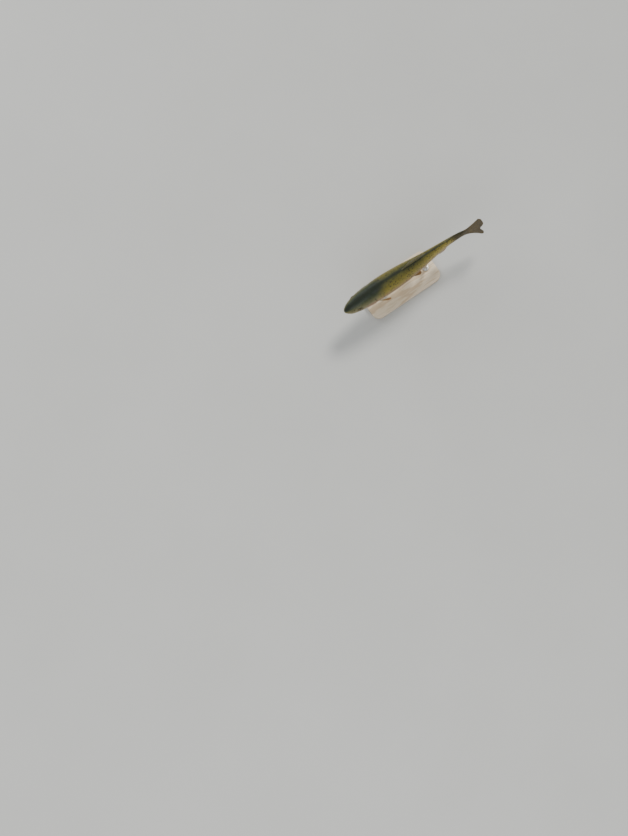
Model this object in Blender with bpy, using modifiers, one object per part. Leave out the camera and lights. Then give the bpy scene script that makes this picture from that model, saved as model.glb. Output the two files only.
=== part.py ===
"""Rainbow trout, life size, as a still museum model on a plain display stand.

Metres, +Z up. The fish swims toward -X with its left flank toward -Y and its back up. The origin is the
centre of the stand's underside. The body is one loft of rounded sections along a spine that flexes near the
tail. Thin cuts part it into head, lower jaw, gill covers, trunk and tail, and the fins, eyes and stand are
pieces of their own.
"""

import math

import bmesh
import bpy
import numpy as np
from mathutils import Vector

MM = 0.001

# ---- driving dimensions ----
TOTAL_LENGTH = 450 * MM
BALANCE_FROM_SNOUT = 185 * MM     # the stand's centre stands under this point of the fish
AXIS_HEIGHT = 112 * MM            # the fish's long axis above the floor
GAP = 0.3 * MM                    # every cut between neighbouring pieces
TAIL_TURN = math.radians(24)      # the tail fin's tip's turn toward the fish's left
TURN_START, TURN_END = 0.70, 1.00 # where that flex starts and ends, in total lengths
SWAY = math.radians(1.5)          # the slight S that the trunk holds between these two
SWAY_START, SWAY_END = 0.20, 0.80
NOSE_ROUND = 13.5                 # mm, how far the rounding of the snout reaches back
NOSE_LEVEL = -3.0                 # mm, the snout tip's level

# One row a station, in mm: from snout, back, belly, half width, level of the widest point, and how full the
# upper and lower halves of the section are (2 is an ellipse).
STATIONS = np.array([
    (0, 8.0, -9.0, 10.0, -3.0, 2.2, 2.2),
    (8, 10.5, -12.0, 12.0, -3.0, 2.2, 2.1),
    (20, 17.0, -18.5, 16.8, -2.5, 2.2, 2.0),
    (38, 24.0, -25.5, 21.5, -1.5, 2.3, 1.9),
    (58, 31.0, -32.0, 24.8, -2.0, 2.2, 1.9),
    (80, 36.5, -37.5, 26.4, -2.5, 2.1, 2.0),
    (105, 40.5, -41.5, 27.2, 0.0, 2.0, 2.1),
    (135, 43.2, -44.2, 27.3, 1.5, 2.0, 2.15),
    (185, 44.0, -45.5, 24.8, 2.0, 1.95, 2.15),
    (225, 41.0, -43.5, 20.2, 2.0, 1.95, 2.1),
    (265, 36.5, -38.0, 15.0, 1.5, 2.0, 2.05),
    (300, 31.5, -30.5, 11.3, 1.0, 2.0, 2.0),
    (340, 24.5, -21.5, 7.9, 0.5, 2.1, 2.1),
    (370, 19.5, -18.0, 6.4, 0.0, 2.2, 2.2),
    (390, 19.5, -19.0, 4.6, 0.0, 2.3, 2.3),
])

# ---- where the body is parted, in total lengths from the snout ----
GILL_EDGE = 0.203                 # on the flank
NAPE_FORWARD, THROAT_FORWARD = 0.036, 0.060        # how far the nape and the throat draw that edge forward
TRUNK_CUT = 0.41
TAIL_CUT = 0.645
BODY_END = 390 * MM / TOTAL_LENGTH

# ---- eye ----
EYE_FROM_SNOUT = 38 * MM
EYE_ANGLE = math.radians(72)      # from the crown, round the section
EYE_RADIUS = 7.6 * MM
EYE_DEPTH_RADIUS = 3.0 * MM
EYE_PROUD = 1.3 * MM

# ---- mouth: the gape from the snout to the jaw joint, then down to the throat (mm from snout, level) ----
GAPE = [(-6, -4.2), (6, -5.6), (20, -8.4), (34, -12.2), (45, -16.0)]
THROAT = (60, -37)
JAW_BLOCK_SIDE, JAW_BLOCK_LEVEL = 40, -60          # mm, past the head on either side and below

# ---- gill cover ----
COVER_FRONT = 0.137
COVER_TOP = math.radians(64)
COVER_BOTTOM = math.radians(141)
COVER_HOOK = 0.012                # how far its lower corner reaches forward
COVER_THICKNESS = 2.4 * MM
COVER_BED_PAST = 0.01             # how far the bed it lies in runs past the head's edge
COVER_BED_PROUD = 1.0 * MM
COVER_HALF_GIRTH = 30 * MM        # turns the gap into an angle

# ---- fins on the midline: the ends of the root in total lengths, which side of the body, the first and last
# rays' slope to the axis in degrees, ray lengths in mm at even steps, thickness at root and margin in mm ----
MEDIAN_FINS = {
    "dorsal_fin": dict(root=(0.409, 0.529), up=1, slopes=(52, 27), lengths=(37, 45, 44, 39, 34, 29),
                       thickness=(3.2, 0.8), bend=0.16),
    "adipose_fin": dict(root=(0.716, 0.744), up=1, slopes=(44, 12), lengths=(9, 13, 16, 16.5, 14),
                        thickness=(3.2, 1.4), bend=0.10),
    "anal_fin": dict(root=(0.645, 0.735), up=-1, slopes=(62, 36), lengths=(33, 41, 38, 31, 25, 21),
                     thickness=(3.0, 0.8), bend=0.16),
}

# ---- paired fins: the ends of the root as (mm from snout, degrees from the back), the first and last rays'
# directions as (back, out, down), and camber, the blade's hollow in mm ----
PECTORAL = dict(front=(86, 124), rear=(92, 142), lengths=(44, 50, 50, 46, 39, 30, 22), thickness=(3.4, 0.8),
                bend=0.12, camber=2.0)
PELVIC = dict(front=(203, 152), rear=(214, 167), lengths=(38, 44, 44, 40, 34, 26), thickness=(3.0, 0.8),
              bend=0.12, camber=1.5, first=(0.85, 0.22, 0.50), last=(0.94, 0.03, 0.34))
PECTORAL_RAYS = {
    "left": dict(first=(0.96, 0.17, 0.20), last=(0.78, 0.32, 0.52)),      # folded back close to the flank
    "right": dict(first=(0.94, 0.28, 0.16), last=(0.74, 0.44, 0.48)),     # standing further out
}
ROOT_SINK = 2.0 * MM              # how deep a fin's root starts, before it is trimmed to the skin

# ---- tail fin: a shallow fork, the upper lobe leaning to the fish's right and the lower to its left ----
TAIL_ROOT_HALF = 18.2 * MM
TAIL_TIP_HALF = 46 * MM
TAIL_NOTCH = 440 * MM
NOTCH_LEVEL, NOTCH_WIDTH = -0.20, 0.26             # of the half height
UPPER_SHORTER = 10 * MM           # than the lower lobe
CORNER_START, CORNER_ROUNDING = 0.86, 5.4 * MM
UPPER_LEAN, LOWER_LEAN = math.radians(12), math.radians(9)
TAIL_FLARE, TAIL_BOW = 1.15, 0.92 # powers: how the fin spreads along it, and how its rays crowd to the edges
TAIL_FLESH_END, TAIL_FLESH_HALF = 0.28, 4.2 * MM   # the fleshy root's share of the length, and half thickness
TAIL_FLESH_ROUND = 0.94           # how much of its half round the fleshy root's section spans
TAIL_THICKNESS = (1.8 * MM, 0.8 * MM)              # of the fin past it, at root and margin
TAIL_EASE = 1.5                   # the power by which the flesh thins and the upper lobe shortens

# ---- stand ----
BASE_LENGTH, BASE_WIDTH, BASE_THICKNESS = 220 * MM, 96 * MM, 12 * MM
BASE_CORNER, BASE_EDGE = 22 * MM, 1.5 * MM
ROD_RADIUS = 4 * MM
ROD_FROM_SNOUT = {"front": 132 * MM, "rear": 268 * MM}
ROD_FILLET = 3 * MM
ROD_SINK = 5 * MM                 # how deep a rod's top starts, before it is trimmed to the skin
COLLAR_RADIUS, COLLAR_HEIGHT, COLLAR_EDGE = 9 * MM, 3.5 * MM, 0.8 * MM

# ---- resolution ----
AROUND = 36                       # points round the body
HEAD_RINGS = 15
HEAD_FIRST, HEAD_CROWDING = 0.1, 1.7               # the first ring's share, and the power that crowds the snout
TRUNK_FRONT_RINGS, TRUNK_REAR_RINGS, TAIL_BASE_RINGS = 10, 8, 9
COVER_ROWS, COVER_COLUMNS = 8, 11
EYE_SEGMENTS, EYE_RINGS = 18, 10
FIN_RAYS, FIN_STEPS = 11, 7
TAIL_RAYS, TAIL_STEPS = 21, 9
CORNER_STEPS, EDGE_STEPS, FILLET_STEPS, ROD_STEPS = 6, 2, 4, 18

# ---- the body cutter: where its rings start and stop in total lengths, and how many; then its overhang ----
CUTTER_HEAD, CUTTER_TRUNK = (0.004, 0.200, 22), (0.215, BODY_END, 44)
CUTTER_OVERHANG = 0.001


# ---------------------------------------------------------------- smooth curves

def hermite(xs, ys, x):
    """A monotone cubic through the points xs, ys, read at x."""
    xs, ys, x = np.asarray(xs, float), np.asarray(ys, float), np.asarray(x, float)
    step = np.diff(xs)
    slope = np.diff(ys) / step
    tangent = np.empty_like(ys)
    tangent[0], tangent[-1] = slope[0], slope[-1]
    product = slope[:-1] * slope[1:]
    total = slope[:-1] + slope[1:]
    tangent[1:-1] = np.where(product > 0, 2 * product / np.where(total == 0, 1, total), 0)
    x = np.clip(x, xs[0], xs[-1])
    i = np.clip(np.searchsorted(xs, x) - 1, 0, len(step) - 1)
    t = (x - xs[i]) / step[i]
    a = (1 + 2 * t) * (1 - t) ** 2
    b = t * (1 - t) ** 2 * step[i]
    c = t * t * (3 - 2 * t)
    d = t * t * (t - 1) * step[i]
    return a * ys[i] + b * tangent[i] + c * ys[i + 1] + d * tangent[i + 1]


def heading(s):
    """The spine's turn toward the fish's left at s total lengths from the snout."""
    s = np.asarray(s)
    flex = TAIL_TURN * np.clip((s - TURN_START) / (TURN_END - TURN_START), 0, 1) ** 2
    wave = SWAY * np.sin(2 * math.pi * np.clip((s - SWAY_START) / (SWAY_END - SWAY_START), 0, 1))
    return flex + wave


SPINE_S = np.linspace(0, 1.02, 409)
SPINE_STEP = (SPINE_S[1] - SPINE_S[0]) * TOTAL_LENGTH
MIDWAY = heading((SPINE_S[1:] + SPINE_S[:-1]) / 2)
SPINE_X = np.concatenate([[0], np.cumsum(np.cos(MIDWAY))]) * SPINE_STEP - BALANCE_FROM_SNOUT
SPINE_Y = -np.concatenate([[0], np.cumsum(np.sin(MIDWAY))]) * SPINE_STEP


def place(s, side, up):
    """A point at s along the spine, side metres to the fish's right and up metres above its axis."""
    turn = heading(s)
    x = np.interp(s, SPINE_S, SPINE_X) + np.sin(turn) * side
    y = np.interp(s, SPINE_S, SPINE_Y) + np.cos(turn) * side
    return np.stack(np.broadcast_arrays(x, y, AXIS_HEIGHT + up), axis=-1)


def section(s, angle, grow=0.0):
    """The body's surface at s, at an angle from the back (0) round the left flank (90) to the belly (180)."""
    mm = np.asarray(s) * TOTAL_LENGTH / MM
    columns = (hermite(STATIONS[:, 0], STATIONS[:, k], mm) for k in range(1, 7))
    back, belly, half, level, upper, lower = columns
    nose = np.sqrt(np.clip(1 - (1 - np.clip(mm / NOSE_ROUND, 0, 1)) ** 2, 0, 1))
    blend = (1 - np.clip(mm / NOSE_ROUND, 0, 1)) ** 2
    level = level * (1 - blend) + NOSE_LEVEL * blend
    more = grow / MM
    cos, sin = np.cos(angle), np.sin(angle)
    fullness = np.where(cos > 0, upper, lower)
    height = np.where(cos > 0, back - level, level - belly) * nose + more
    radius = (np.abs(cos) ** fullness + np.abs(sin) ** fullness) ** (-1 / fullness)
    return place(s, -(half * nose + more) * radius * sin * MM, (level + height * radius * cos) * MM)


def outward(s, angle):
    """The unit normal of the body's surface, pointing out."""
    e = 1e-4
    along = section(s + e, angle) - section(s - e, angle)
    around = section(s, angle + e) - section(s, angle - e)
    normal = np.cross(around, along)
    return normal / np.linalg.norm(normal, axis=-1, keepdims=True)


def gill_edge(angle):
    """Where the head ends: the rear edge of the gill cover, drawn forward at the nape and the throat."""
    nape = (0.5 + 0.5 * np.cos(angle)) ** 3
    throat = (0.5 - 0.5 * np.cos(angle)) ** 4
    return GILL_EDGE - NAPE_FORWARD * nape - THROAT_FORWARD * throat


# ---------------------------------------------------------------- making objects

def clear_scene():
    for thing in list(bpy.data.objects):
        bpy.data.objects.remove(thing, do_unlink=True)


def collection(name):
    made = bpy.data.collections.new(name)
    bpy.context.scene.collection.children.link(made)
    return made


def material(name, colour, roughness, metallic=0.0):
    made = bpy.data.materials.new(name)
    made.use_nodes = True
    shader = made.node_tree.nodes["Principled BSDF"]
    shader.inputs["Base Color"].default_value = (*colour, 1)
    shader.inputs["Roughness"].default_value = roughness
    shader.inputs["Metallic"].default_value = metallic
    return made


def add_object(name, bm, group, finish, smooth=math.radians(40)):
    """Turn a bmesh into a named object whose origin is the middle of its own box."""
    bmesh.ops.recalc_face_normals(bm, faces=bm.faces)
    corners = np.array([v.co[:] for v in bm.verts])
    centre = Vector((corners.min(axis=0) + corners.max(axis=0)) / 2)
    bmesh.ops.translate(bm, verts=bm.verts, vec=-centre)
    mesh = bpy.data.meshes.new(name)
    bm.to_mesh(mesh)
    bm.free()
    mesh.shade_smooth()
    mesh.set_sharp_from_angle(angle=smooth)
    if finish:
        mesh.materials.append(finish)
    made = bpy.data.objects.new(name, mesh)
    made.location = centre
    group.objects.link(made)
    return made


def as_cutter(made):
    made.hide_render = True
    made.display_type = "WIRE"
    return made


def cut(made, cutter, operation="DIFFERENCE"):
    step = made.modifiers.new(f"{operation.lower()}_{cutter.name}", "BOOLEAN")
    step.operation = operation
    step.object = cutter
    step.solver = "EXACT"


def loft(rings, first_cap, last_cap):
    """A closed skin over rings of points, each end closed by a fan to a cap point."""
    bm = bmesh.new()
    rows = [[bm.verts.new(p) for p in ring] for ring in rings]
    count = len(rows[0])
    for low, high in zip(rows, rows[1:]):
        for k in range(count):
            n = (k + 1) % count
            bm.faces.new((low[k], low[n], high[n], high[k]))
    for row, cap in ((rows[0], first_cap), (rows[-1], last_cap)):
        tip = bm.verts.new(cap)
        for k in range(count):
            bm.faces.new((row[k], row[(k + 1) % count], tip))
    return bm


def plate(front, back):
    """A closed plate between two equal grids of points, its front and its back."""
    bm = bmesh.new()
    sides = [[[bm.verts.new(p) for p in row] for row in grid] for grid in (front, back)]
    rows, columns = len(front), len(front[0])
    for grid in sides:
        for i in range(rows - 1):
            for j in range(columns - 1):
                bm.faces.new((grid[i][j], grid[i + 1][j], grid[i + 1][j + 1], grid[i][j + 1]))
    rim = [(i, 0) for i in range(rows)] + [(rows - 1, j) for j in range(1, columns)]
    rim += [(i, columns - 1) for i in range(rows - 2, -1, -1)] + [(0, j) for j in range(columns - 2, 0, -1)]
    for (a, b), (c, d) in zip(rim, rim[1:] + rim[:1]):
        bm.faces.new((sides[0][a][b], sides[0][c][d], sides[1][c][d], sides[1][a][b]))
    return bm


# ---------------------------------------------------------------- body

ANGLES = np.arange(AROUND) * 2 * math.pi / AROUND


def head_loft():
    """The whole head, from the snout to the edge of the gill covers."""
    share = np.linspace(HEAD_FIRST, 1, HEAD_RINGS) ** HEAD_CROWDING
    edge = gill_edge(ANGLES) - GAP / 2 / TOTAL_LENGTH
    rings = [section(part * edge, ANGLES) for part in share]
    middle = place(gill_edge(math.pi / 2) - GAP / 2 / TOTAL_LENGTH, 0, 0)
    return loft(rings, section(0.0, 0.0), middle)


def trunk_loft(start, end, rings):
    """A length of the body between two flat cuts, or from the gill opening to a flat cut."""
    half_gap = GAP / 2 / TOTAL_LENGTH
    edge = gill_edge(ANGLES) if start is None else np.full(AROUND, start)
    middle = gill_edge(math.pi / 2) if start is None else start
    stop = end - half_gap
    rows = [section(edge + half_gap + (stop - edge - half_gap) * t, ANGLES) for t in np.linspace(0, 1, rings)]
    return loft(rows, place(middle + half_gap, 0, 0), place(stop, 0, 0))


def body_cutter(group):
    """The whole body, larger by the gap all round: what fins and rods are trimmed with."""
    steps = np.concatenate([np.linspace(*CUTTER_HEAD), np.linspace(*CUTTER_TRUNK)])
    rings = [section(s, ANGLES, GAP) for s in steps]
    ends = place(-CUTTER_OVERHANG, 0, NOSE_LEVEL * MM), place(BODY_END + CUTTER_OVERHANG, 0, 0)
    return as_cutter(add_object("cutter_body", loft(rings, *ends), group, None))


def jaw_block(name, shift, group):
    """A block below the gape and ahead of the throat, moved by the gap to make the jaw's own half."""
    outline = GAPE + [THROAT, (THROAT[0], JAW_BLOCK_LEVEL), (GAPE[0][0], JAW_BLOCK_LEVEL)]
    bm = bmesh.new()
    faces = []
    for side in (-JAW_BLOCK_SIDE, JAW_BLOCK_SIDE):
        corners = [place((x * MM + shift) / TOTAL_LENGTH, side * MM, z * MM + shift) for x, z in outline]
        faces.append(bm.faces.new([bm.verts.new(c) for c in corners]))
    near, far = faces
    for a, b, c, d in zip(near.verts, list(near.verts)[1:] + [near.verts[0]],
                          list(far.verts)[1:] + [far.verts[0]], far.verts):
        bm.faces.new((a, b, c, d))
    return as_cutter(add_object(name, bm, group, None))


def eye_frame(side):
    """The eye's centre and the direction it looks in, on the left (1) or the right (-1)."""
    s, angle = EYE_FROM_SNOUT / TOTAL_LENGTH, side * EYE_ANGLE
    look = outward(s, angle)
    return section(s, angle) - look * (EYE_DEPTH_RADIUS - EYE_PROUD), look


def eyeball(name, side, grow, group, finish):
    """A flattened ball, its short axis along the eye's line of sight."""
    centre, look = eye_frame(side)
    bm = bmesh.new()
    bmesh.ops.create_uvsphere(bm, u_segments=EYE_SEGMENTS, v_segments=EYE_RINGS, radius=1.0)
    round_radius, depth = EYE_RADIUS + grow, EYE_DEPTH_RADIUS + grow
    bmesh.ops.scale(bm, verts=bm.verts, vec=(round_radius, round_radius, depth))
    turn = Vector((0, 0, 1)).rotation_difference(Vector(look))
    bmesh.ops.rotate(bm, verts=bm.verts, matrix=turn.to_matrix())
    bmesh.ops.translate(bm, verts=bm.verts, vec=Vector(centre))
    return add_object(name, bm, group, finish)


def gill_cover(name, side, grow, group, finish):
    """A plate let into the side of the head; with grow it is the larger bed that the plate lies in."""
    spread = grow / TOTAL_LENGTH
    turn = grow / COVER_HALF_GIRTH
    angles = np.linspace(COVER_TOP - turn, COVER_BOTTOM + turn, COVER_COLUMNS)
    share = np.linspace(0, 1, COVER_ROWS)
    rear = gill_edge(angles) + (COVER_BED_PAST if grow else -GAP / 2 / TOTAL_LENGTH)
    down = (angles - COVER_TOP) / (COVER_BOTTOM - COVER_TOP)
    front = COVER_FRONT - spread - COVER_HOOK * np.sin(down * math.pi / 2) ** 4
    s = front + (rear - front) * share[:, None]
    angle = np.broadcast_to(side * angles, s.shape)
    surface, normal = section(s, angle), outward(s, angle)
    outer = surface + normal * (COVER_BED_PROUD if grow else 0.0)
    inner = surface - normal * (COVER_THICKNESS + grow)
    return add_object(name, plate(outer, inner), group, finish)


def make_head(parts, cutters, skin, cover_skin, eye_finish):
    head = add_object("head", head_loft(), parts, skin)
    jaw = add_object("lower_jaw", head_loft(), parts, skin)
    cut(head, jaw_block("cutter_gape", 0.0, cutters))
    cut(jaw, jaw_block("cutter_jaw", -GAP, cutters), "INTERSECT")
    for word, side in (("left", 1), ("right", -1)):
        cut(head, as_cutter(eyeball(f"cutter_eye_{word}", side, GAP, cutters, None)))
        cut(head, as_cutter(gill_cover(f"cutter_cover_{word}", side, GAP, cutters, None)))
        eyeball(f"eye_{word}", side, 0.0, parts, eye_finish)
        gill_cover(f"gill_cover_{word}", side, 0.0, parts, cover_skin)


# ---------------------------------------------------------------- fins

def fin_solid(middle, normal, thickness):
    """A fin as a plate: a grid of middle points, thick by its own amount at each."""
    half = thickness[..., None] / 2
    return plate(middle + normal * half, middle - normal * half)


def fan(root, first, last, lengths, thickness, bend, camber=0.0):
    """Rays that fan out from a root line, turning from the first direction to the last.

    Lengths, thickness and camber are in mm. bend turns the rays' ends toward the last direction.
    """
    root, first, last = (np.asarray(v, float) for v in (root, first, last))
    u = np.linspace(0, 1, FIN_RAYS)[:, None]
    v = np.linspace(0, 1, FIN_STEPS)[None, :]
    reach = hermite(np.linspace(0, 1, len(lengths)), lengths, u) * v * MM
    mix = (u + bend * v)[..., None]
    ray = first * (1 - mix) + last * mix
    ray /= np.linalg.norm(ray, axis=-1, keepdims=True)
    normal = np.cross(last, first)
    normal /= np.linalg.norm(normal)
    base = root[0] + (root[1] - root[0]) * u[..., None]
    hollow = camber * MM * np.sin(math.pi * u) * v ** 2
    middle = base + ray * reach[..., None] + normal * hollow[..., None]
    edge = (thickness[0] + (thickness[1] - thickness[0]) * np.sqrt(v) * np.ones_like(u)) * MM
    return fin_solid(middle, np.broadcast_to(normal, middle.shape), edge)


def median_fin(name, root, up, slopes, lengths, thickness, bend, parts, skin, body):
    """A fin on the midline of the back (up is 1) or of the belly (-1)."""
    column = 1 if up > 0 else 2
    ends = []
    for s in root:
        level = float(hermite(STATIONS[:, 0], STATIONS[:, column], s * TOTAL_LENGTH / MM)) * MM
        ends.append(place(s, 0, level - up * ROOT_SINK))
    turn = float(heading(sum(root) / 2))
    rays = []
    for slope in slopes:
        along, rise = math.cos(math.radians(slope)), math.sin(math.radians(slope))
        rays.append((along * math.cos(turn), -along * math.sin(turn), up * rise))
    made = add_object(name, fan(ends, *rays, lengths, thickness, bend), parts, skin)
    cut(made, body)


def paired_fin(name, side, front, rear, first, last, lengths, thickness, bend, camber, parts, skin, body):
    """A pectoral or pelvic fin, on the left (side is 1) or the right (-1)."""
    ends = []
    for from_snout, angle in (front, rear):
        s, turned = from_snout * MM / TOTAL_LENGTH, side * math.radians(angle)
        ends.append(section(s, turned) - outward(s, turned) * ROOT_SINK)
    rays = [(back, -side * out, -down) for back, out, down in (first, last)]
    made = add_object(name, fan(ends, *rays, lengths, thickness, bend, side * camber), parts, skin)
    cut(made, body)


def tail_fin_grid():
    """Middle points, normals and thickness of the tail fin, from its lower edge to its upper."""
    u = np.linspace(-1, 1, TAIL_RAYS)[:, None]
    v = np.linspace(0, 1, TAIL_STEPS)[None, :]
    root, notch = BODY_END + GAP / TOTAL_LENGTH, TAIL_NOTCH / TOTAL_LENGTH
    fork = 1 - np.exp(-((u - NOTCH_LEVEL) / NOTCH_WIDTH) ** 2)
    corner = CORNER_ROUNDING * np.clip((np.abs(u) - CORNER_START) / (1 - CORNER_START), 0, 1) ** 2
    shorter = UPPER_SHORTER * np.clip(u, 0, 1) ** TAIL_EASE
    margin = notch + (1 - notch) * fork - (corner + shorter) / TOTAL_LENGTH
    s = root + (margin - root) * v
    spread = TAIL_ROOT_HALF + (TAIL_TIP_HALF - TAIL_ROOT_HALF) * v ** TAIL_FLARE
    up = np.sign(u) * np.abs(u) ** TAIL_BOW * spread
    lean = np.where(up > 0, math.tan(UPPER_LEAN), math.tan(LOWER_LEAN)) * up * v
    fleshy = np.clip(1 - v / TAIL_FLESH_END, 0, 1) ** TAIL_EASE
    root_half = np.sqrt(1 - (u * TAIL_FLESH_ROUND) ** 2) * TAIL_FLESH_HALF
    thickness = 2 * root_half * fleshy + TAIL_THICKNESS[1] + (TAIL_THICKNESS[0] - TAIL_THICKNESS[1]) * (1 - v)
    middle = place(s, lean, up)
    normal = np.cross(np.gradient(middle, axis=1), np.gradient(middle, axis=0))
    normal /= np.linalg.norm(normal, axis=-1, keepdims=True)
    normal[:, 0] = (math.sin(heading(root)), math.cos(heading(root)), 0)
    return middle, normal * np.sign(normal[..., 1:2]), thickness


def make_fins(parts, skin, body):
    for name, shape in MEDIAN_FINS.items():
        median_fin(name, **shape, parts=parts, skin=skin, body=body)
    for word, side in (("left", 1), ("right", -1)):
        pectoral = PECTORAL | PECTORAL_RAYS[word]
        paired_fin(f"pectoral_fin_{word}", side, **pectoral, parts=parts, skin=skin, body=body)
        paired_fin(f"pelvic_fin_{word}", side, **PELVIC, parts=parts, skin=skin, body=body)
    add_object("caudal_fin", fin_solid(*tail_fin_grid()), parts, skin)


# ---------------------------------------------------------------- stand

def make_base(parts, finish):
    bm = bmesh.new()
    bmesh.ops.create_cube(bm, size=1.0)
    bmesh.ops.scale(bm, verts=bm.verts, vec=(BASE_LENGTH, BASE_WIDTH, BASE_THICKNESS))
    bmesh.ops.translate(bm, verts=bm.verts, vec=(0, 0, BASE_THICKNESS / 2))
    upright = [e for e in bm.edges if abs(e.verts[0].co.z - e.verts[1].co.z) > BASE_THICKNESS / 2]
    bmesh.ops.bevel(bm, geom=upright, offset=BASE_CORNER, segments=CORNER_STEPS, profile=0.5, affect="EDGES")
    rounding = add_object("stand_base", bm, parts, finish).modifiers.new("edge", "BEVEL")
    rounding.width = BASE_EDGE
    rounding.segments = EDGE_STEPS
    rounding.limit_method = "ANGLE"
    rounding.angle_limit = math.radians(60)


def rod_profile(top):
    """A turned rod's half outline, from its top down its outer side to its foot: shaft, fillet and collar."""
    foot = BASE_THICKNESS + GAP
    shoulder = foot + COLLAR_HEIGHT
    fillet = [(ROD_RADIUS + ROD_FILLET * (1 - math.cos(a)), shoulder + ROD_FILLET * (1 - math.sin(a)))
              for a in np.linspace(0, math.pi / 2, FILLET_STEPS)]
    rim = [(COLLAR_RADIUS - COLLAR_EDGE, shoulder), (COLLAR_RADIUS, shoulder - COLLAR_EDGE)]
    return [(0, top), (ROD_RADIUS, top), *fillet, *rim, (COLLAR_RADIUS, foot), (0, foot)]


def make_rods(parts, finish, body):
    """Turned rods with a collar at the foot, their tops trimmed to the belly's own curve."""
    for word, from_snout in ROD_FROM_SNOUT.items():
        centre = place(from_snout / TOTAL_LENGTH, 0, 0)
        top = float(section(from_snout / TOTAL_LENGTH, math.pi)[2]) + ROD_SINK
        bm = bmesh.new()
        points = [bm.verts.new((r, 0, z)) for r, z in rod_profile(top)]
        edges = [bm.edges.new(pair) for pair in zip(points, points[1:])]
        bmesh.ops.spin(bm, geom=points + edges, axis=(0, 0, 1), cent=(0, 0, 0), steps=ROD_STEPS,
                       angle=2 * math.pi)
        bmesh.ops.remove_doubles(bm, verts=bm.verts, dist=1e-6)
        bmesh.ops.translate(bm, verts=bm.verts, vec=(centre[0], centre[1], 0))
        cut(add_object(f"stand_rod_{word}", bm, parts, finish), body)


# ---------------------------------------------------------------- all of it

def main():
    clear_scene()
    parts, cutters = collection("rainbow_trout"), collection("cutters")
    back = material("skin_head", (0.075, 0.105, 0.035), 0.35)
    flank = material("skin_body", (0.26, 0.21, 0.045), 0.35)
    cover = material("skin_gill_cover", (0.24, 0.17, 0.07), 0.3)
    fin = material("fin", (0.19, 0.145, 0.06), 0.4)
    eye = material("eye", (0.03, 0.028, 0.02), 0.08)
    base = material("stand_base", (0.72, 0.70, 0.66), 0.45)
    rod = material("stand_rod", (0.62, 0.61, 0.58), 0.3, 1.0)

    gap = GAP / TOTAL_LENGTH
    body = body_cutter(cutters)
    make_head(parts, cutters, back, cover, eye)
    add_object("trunk_front", trunk_loft(None, TRUNK_CUT, TRUNK_FRONT_RINGS), parts, flank)
    add_object("trunk_rear", trunk_loft(TRUNK_CUT + gap, TAIL_CUT, TRUNK_REAR_RINGS), parts, flank)
    add_object("tail_base", trunk_loft(TAIL_CUT + gap, BODY_END, TAIL_BASE_RINGS), parts, flank)
    make_fins(parts, fin, body)
    make_base(parts, base)
    make_rods(parts, rod, body)


main()
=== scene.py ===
"""Looks of the life-size rainbow trout on its display stand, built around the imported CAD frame.

The fish is worked out in a straight frame of its own, in millimetres: along from the snout, side to the
fish's right, up from its long axis. place() bends that frame along the spine into the row's metres. One skin
stands for the head, jaws, gill covers, trunk and tail base. Scales are small closed plates over it, and the
fins, eyes and stand are pieces of their own.
"""

import math

import bmesh
import bpy
import numpy as np
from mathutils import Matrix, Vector


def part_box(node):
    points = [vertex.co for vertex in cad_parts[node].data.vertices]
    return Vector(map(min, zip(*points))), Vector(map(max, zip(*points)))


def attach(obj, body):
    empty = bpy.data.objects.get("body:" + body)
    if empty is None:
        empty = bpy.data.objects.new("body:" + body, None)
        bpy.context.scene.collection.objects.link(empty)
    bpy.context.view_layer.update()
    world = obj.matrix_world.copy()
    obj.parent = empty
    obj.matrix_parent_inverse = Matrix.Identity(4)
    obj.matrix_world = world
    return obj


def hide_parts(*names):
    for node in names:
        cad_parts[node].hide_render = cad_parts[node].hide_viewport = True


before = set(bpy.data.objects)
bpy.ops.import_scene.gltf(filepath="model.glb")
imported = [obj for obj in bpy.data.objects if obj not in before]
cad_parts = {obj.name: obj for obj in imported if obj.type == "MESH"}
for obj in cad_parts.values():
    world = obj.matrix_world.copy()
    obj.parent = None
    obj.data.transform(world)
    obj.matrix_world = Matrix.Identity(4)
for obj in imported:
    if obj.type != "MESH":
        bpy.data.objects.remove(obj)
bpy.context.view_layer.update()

MM = 0.001
SEED = 7

# ---------------- driving dimensions (mm unless named)
TOTAL_LENGTH = 450.0
TAIL_TURN, TURN_START, TURN_END = math.radians(24), 0.7, 1.0
SWAY, SWAY_START, SWAY_END = math.radians(1.5), 0.2, 0.8
NOSE_ROUND, NOSE_LEVEL = 13.5, -3.0

# A row a station: from snout, back, belly, half width, level of the widest point, fullness above and below.
STATIONS = np.array([
    (0, 8.0, -9.0, 10.0, -3.0, 2.2, 2.2),
    (8, 10.5, -12.0, 12.0, -3.0, 2.2, 2.1),
    (20, 17.0, -18.5, 16.8, -2.5, 2.2, 2.0),
    (38, 24.0, -25.5, 21.5, -1.5, 2.3, 1.9),
    (58, 31.0, -32.0, 24.8, -2.0, 2.2, 1.9),
    (80, 36.5, -37.5, 26.4, -2.5, 2.1, 2.0),
    (105, 40.5, -41.5, 27.2, 0.0, 2.0, 2.1),
    (135, 43.2, -44.2, 27.3, 1.5, 2.0, 2.15),
    (185, 44.0, -45.5, 24.8, 2.0, 1.95, 2.15),
    (225, 41.0, -43.5, 20.2, 2.0, 1.95, 2.1),
    (265, 36.5, -38.0, 15.0, 1.5, 2.0, 2.05),
    (300, 31.5, -30.5, 11.3, 1.0, 2.0, 2.0),
    (340, 24.5, -21.5, 7.9, 0.5, 2.1, 2.1),
    (370, 19.5, -18.0, 6.4, 0.0, 2.2, 2.2),
    (390, 19.5, -19.0, 4.6, 0.0, 2.3, 2.3),
])
BODY_END = 390.0
SNOUT_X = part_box("head")[0].x
AXIS_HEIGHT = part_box("trunk_front")[1].z - STATIONS[:, 1].max() * MM

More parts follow.
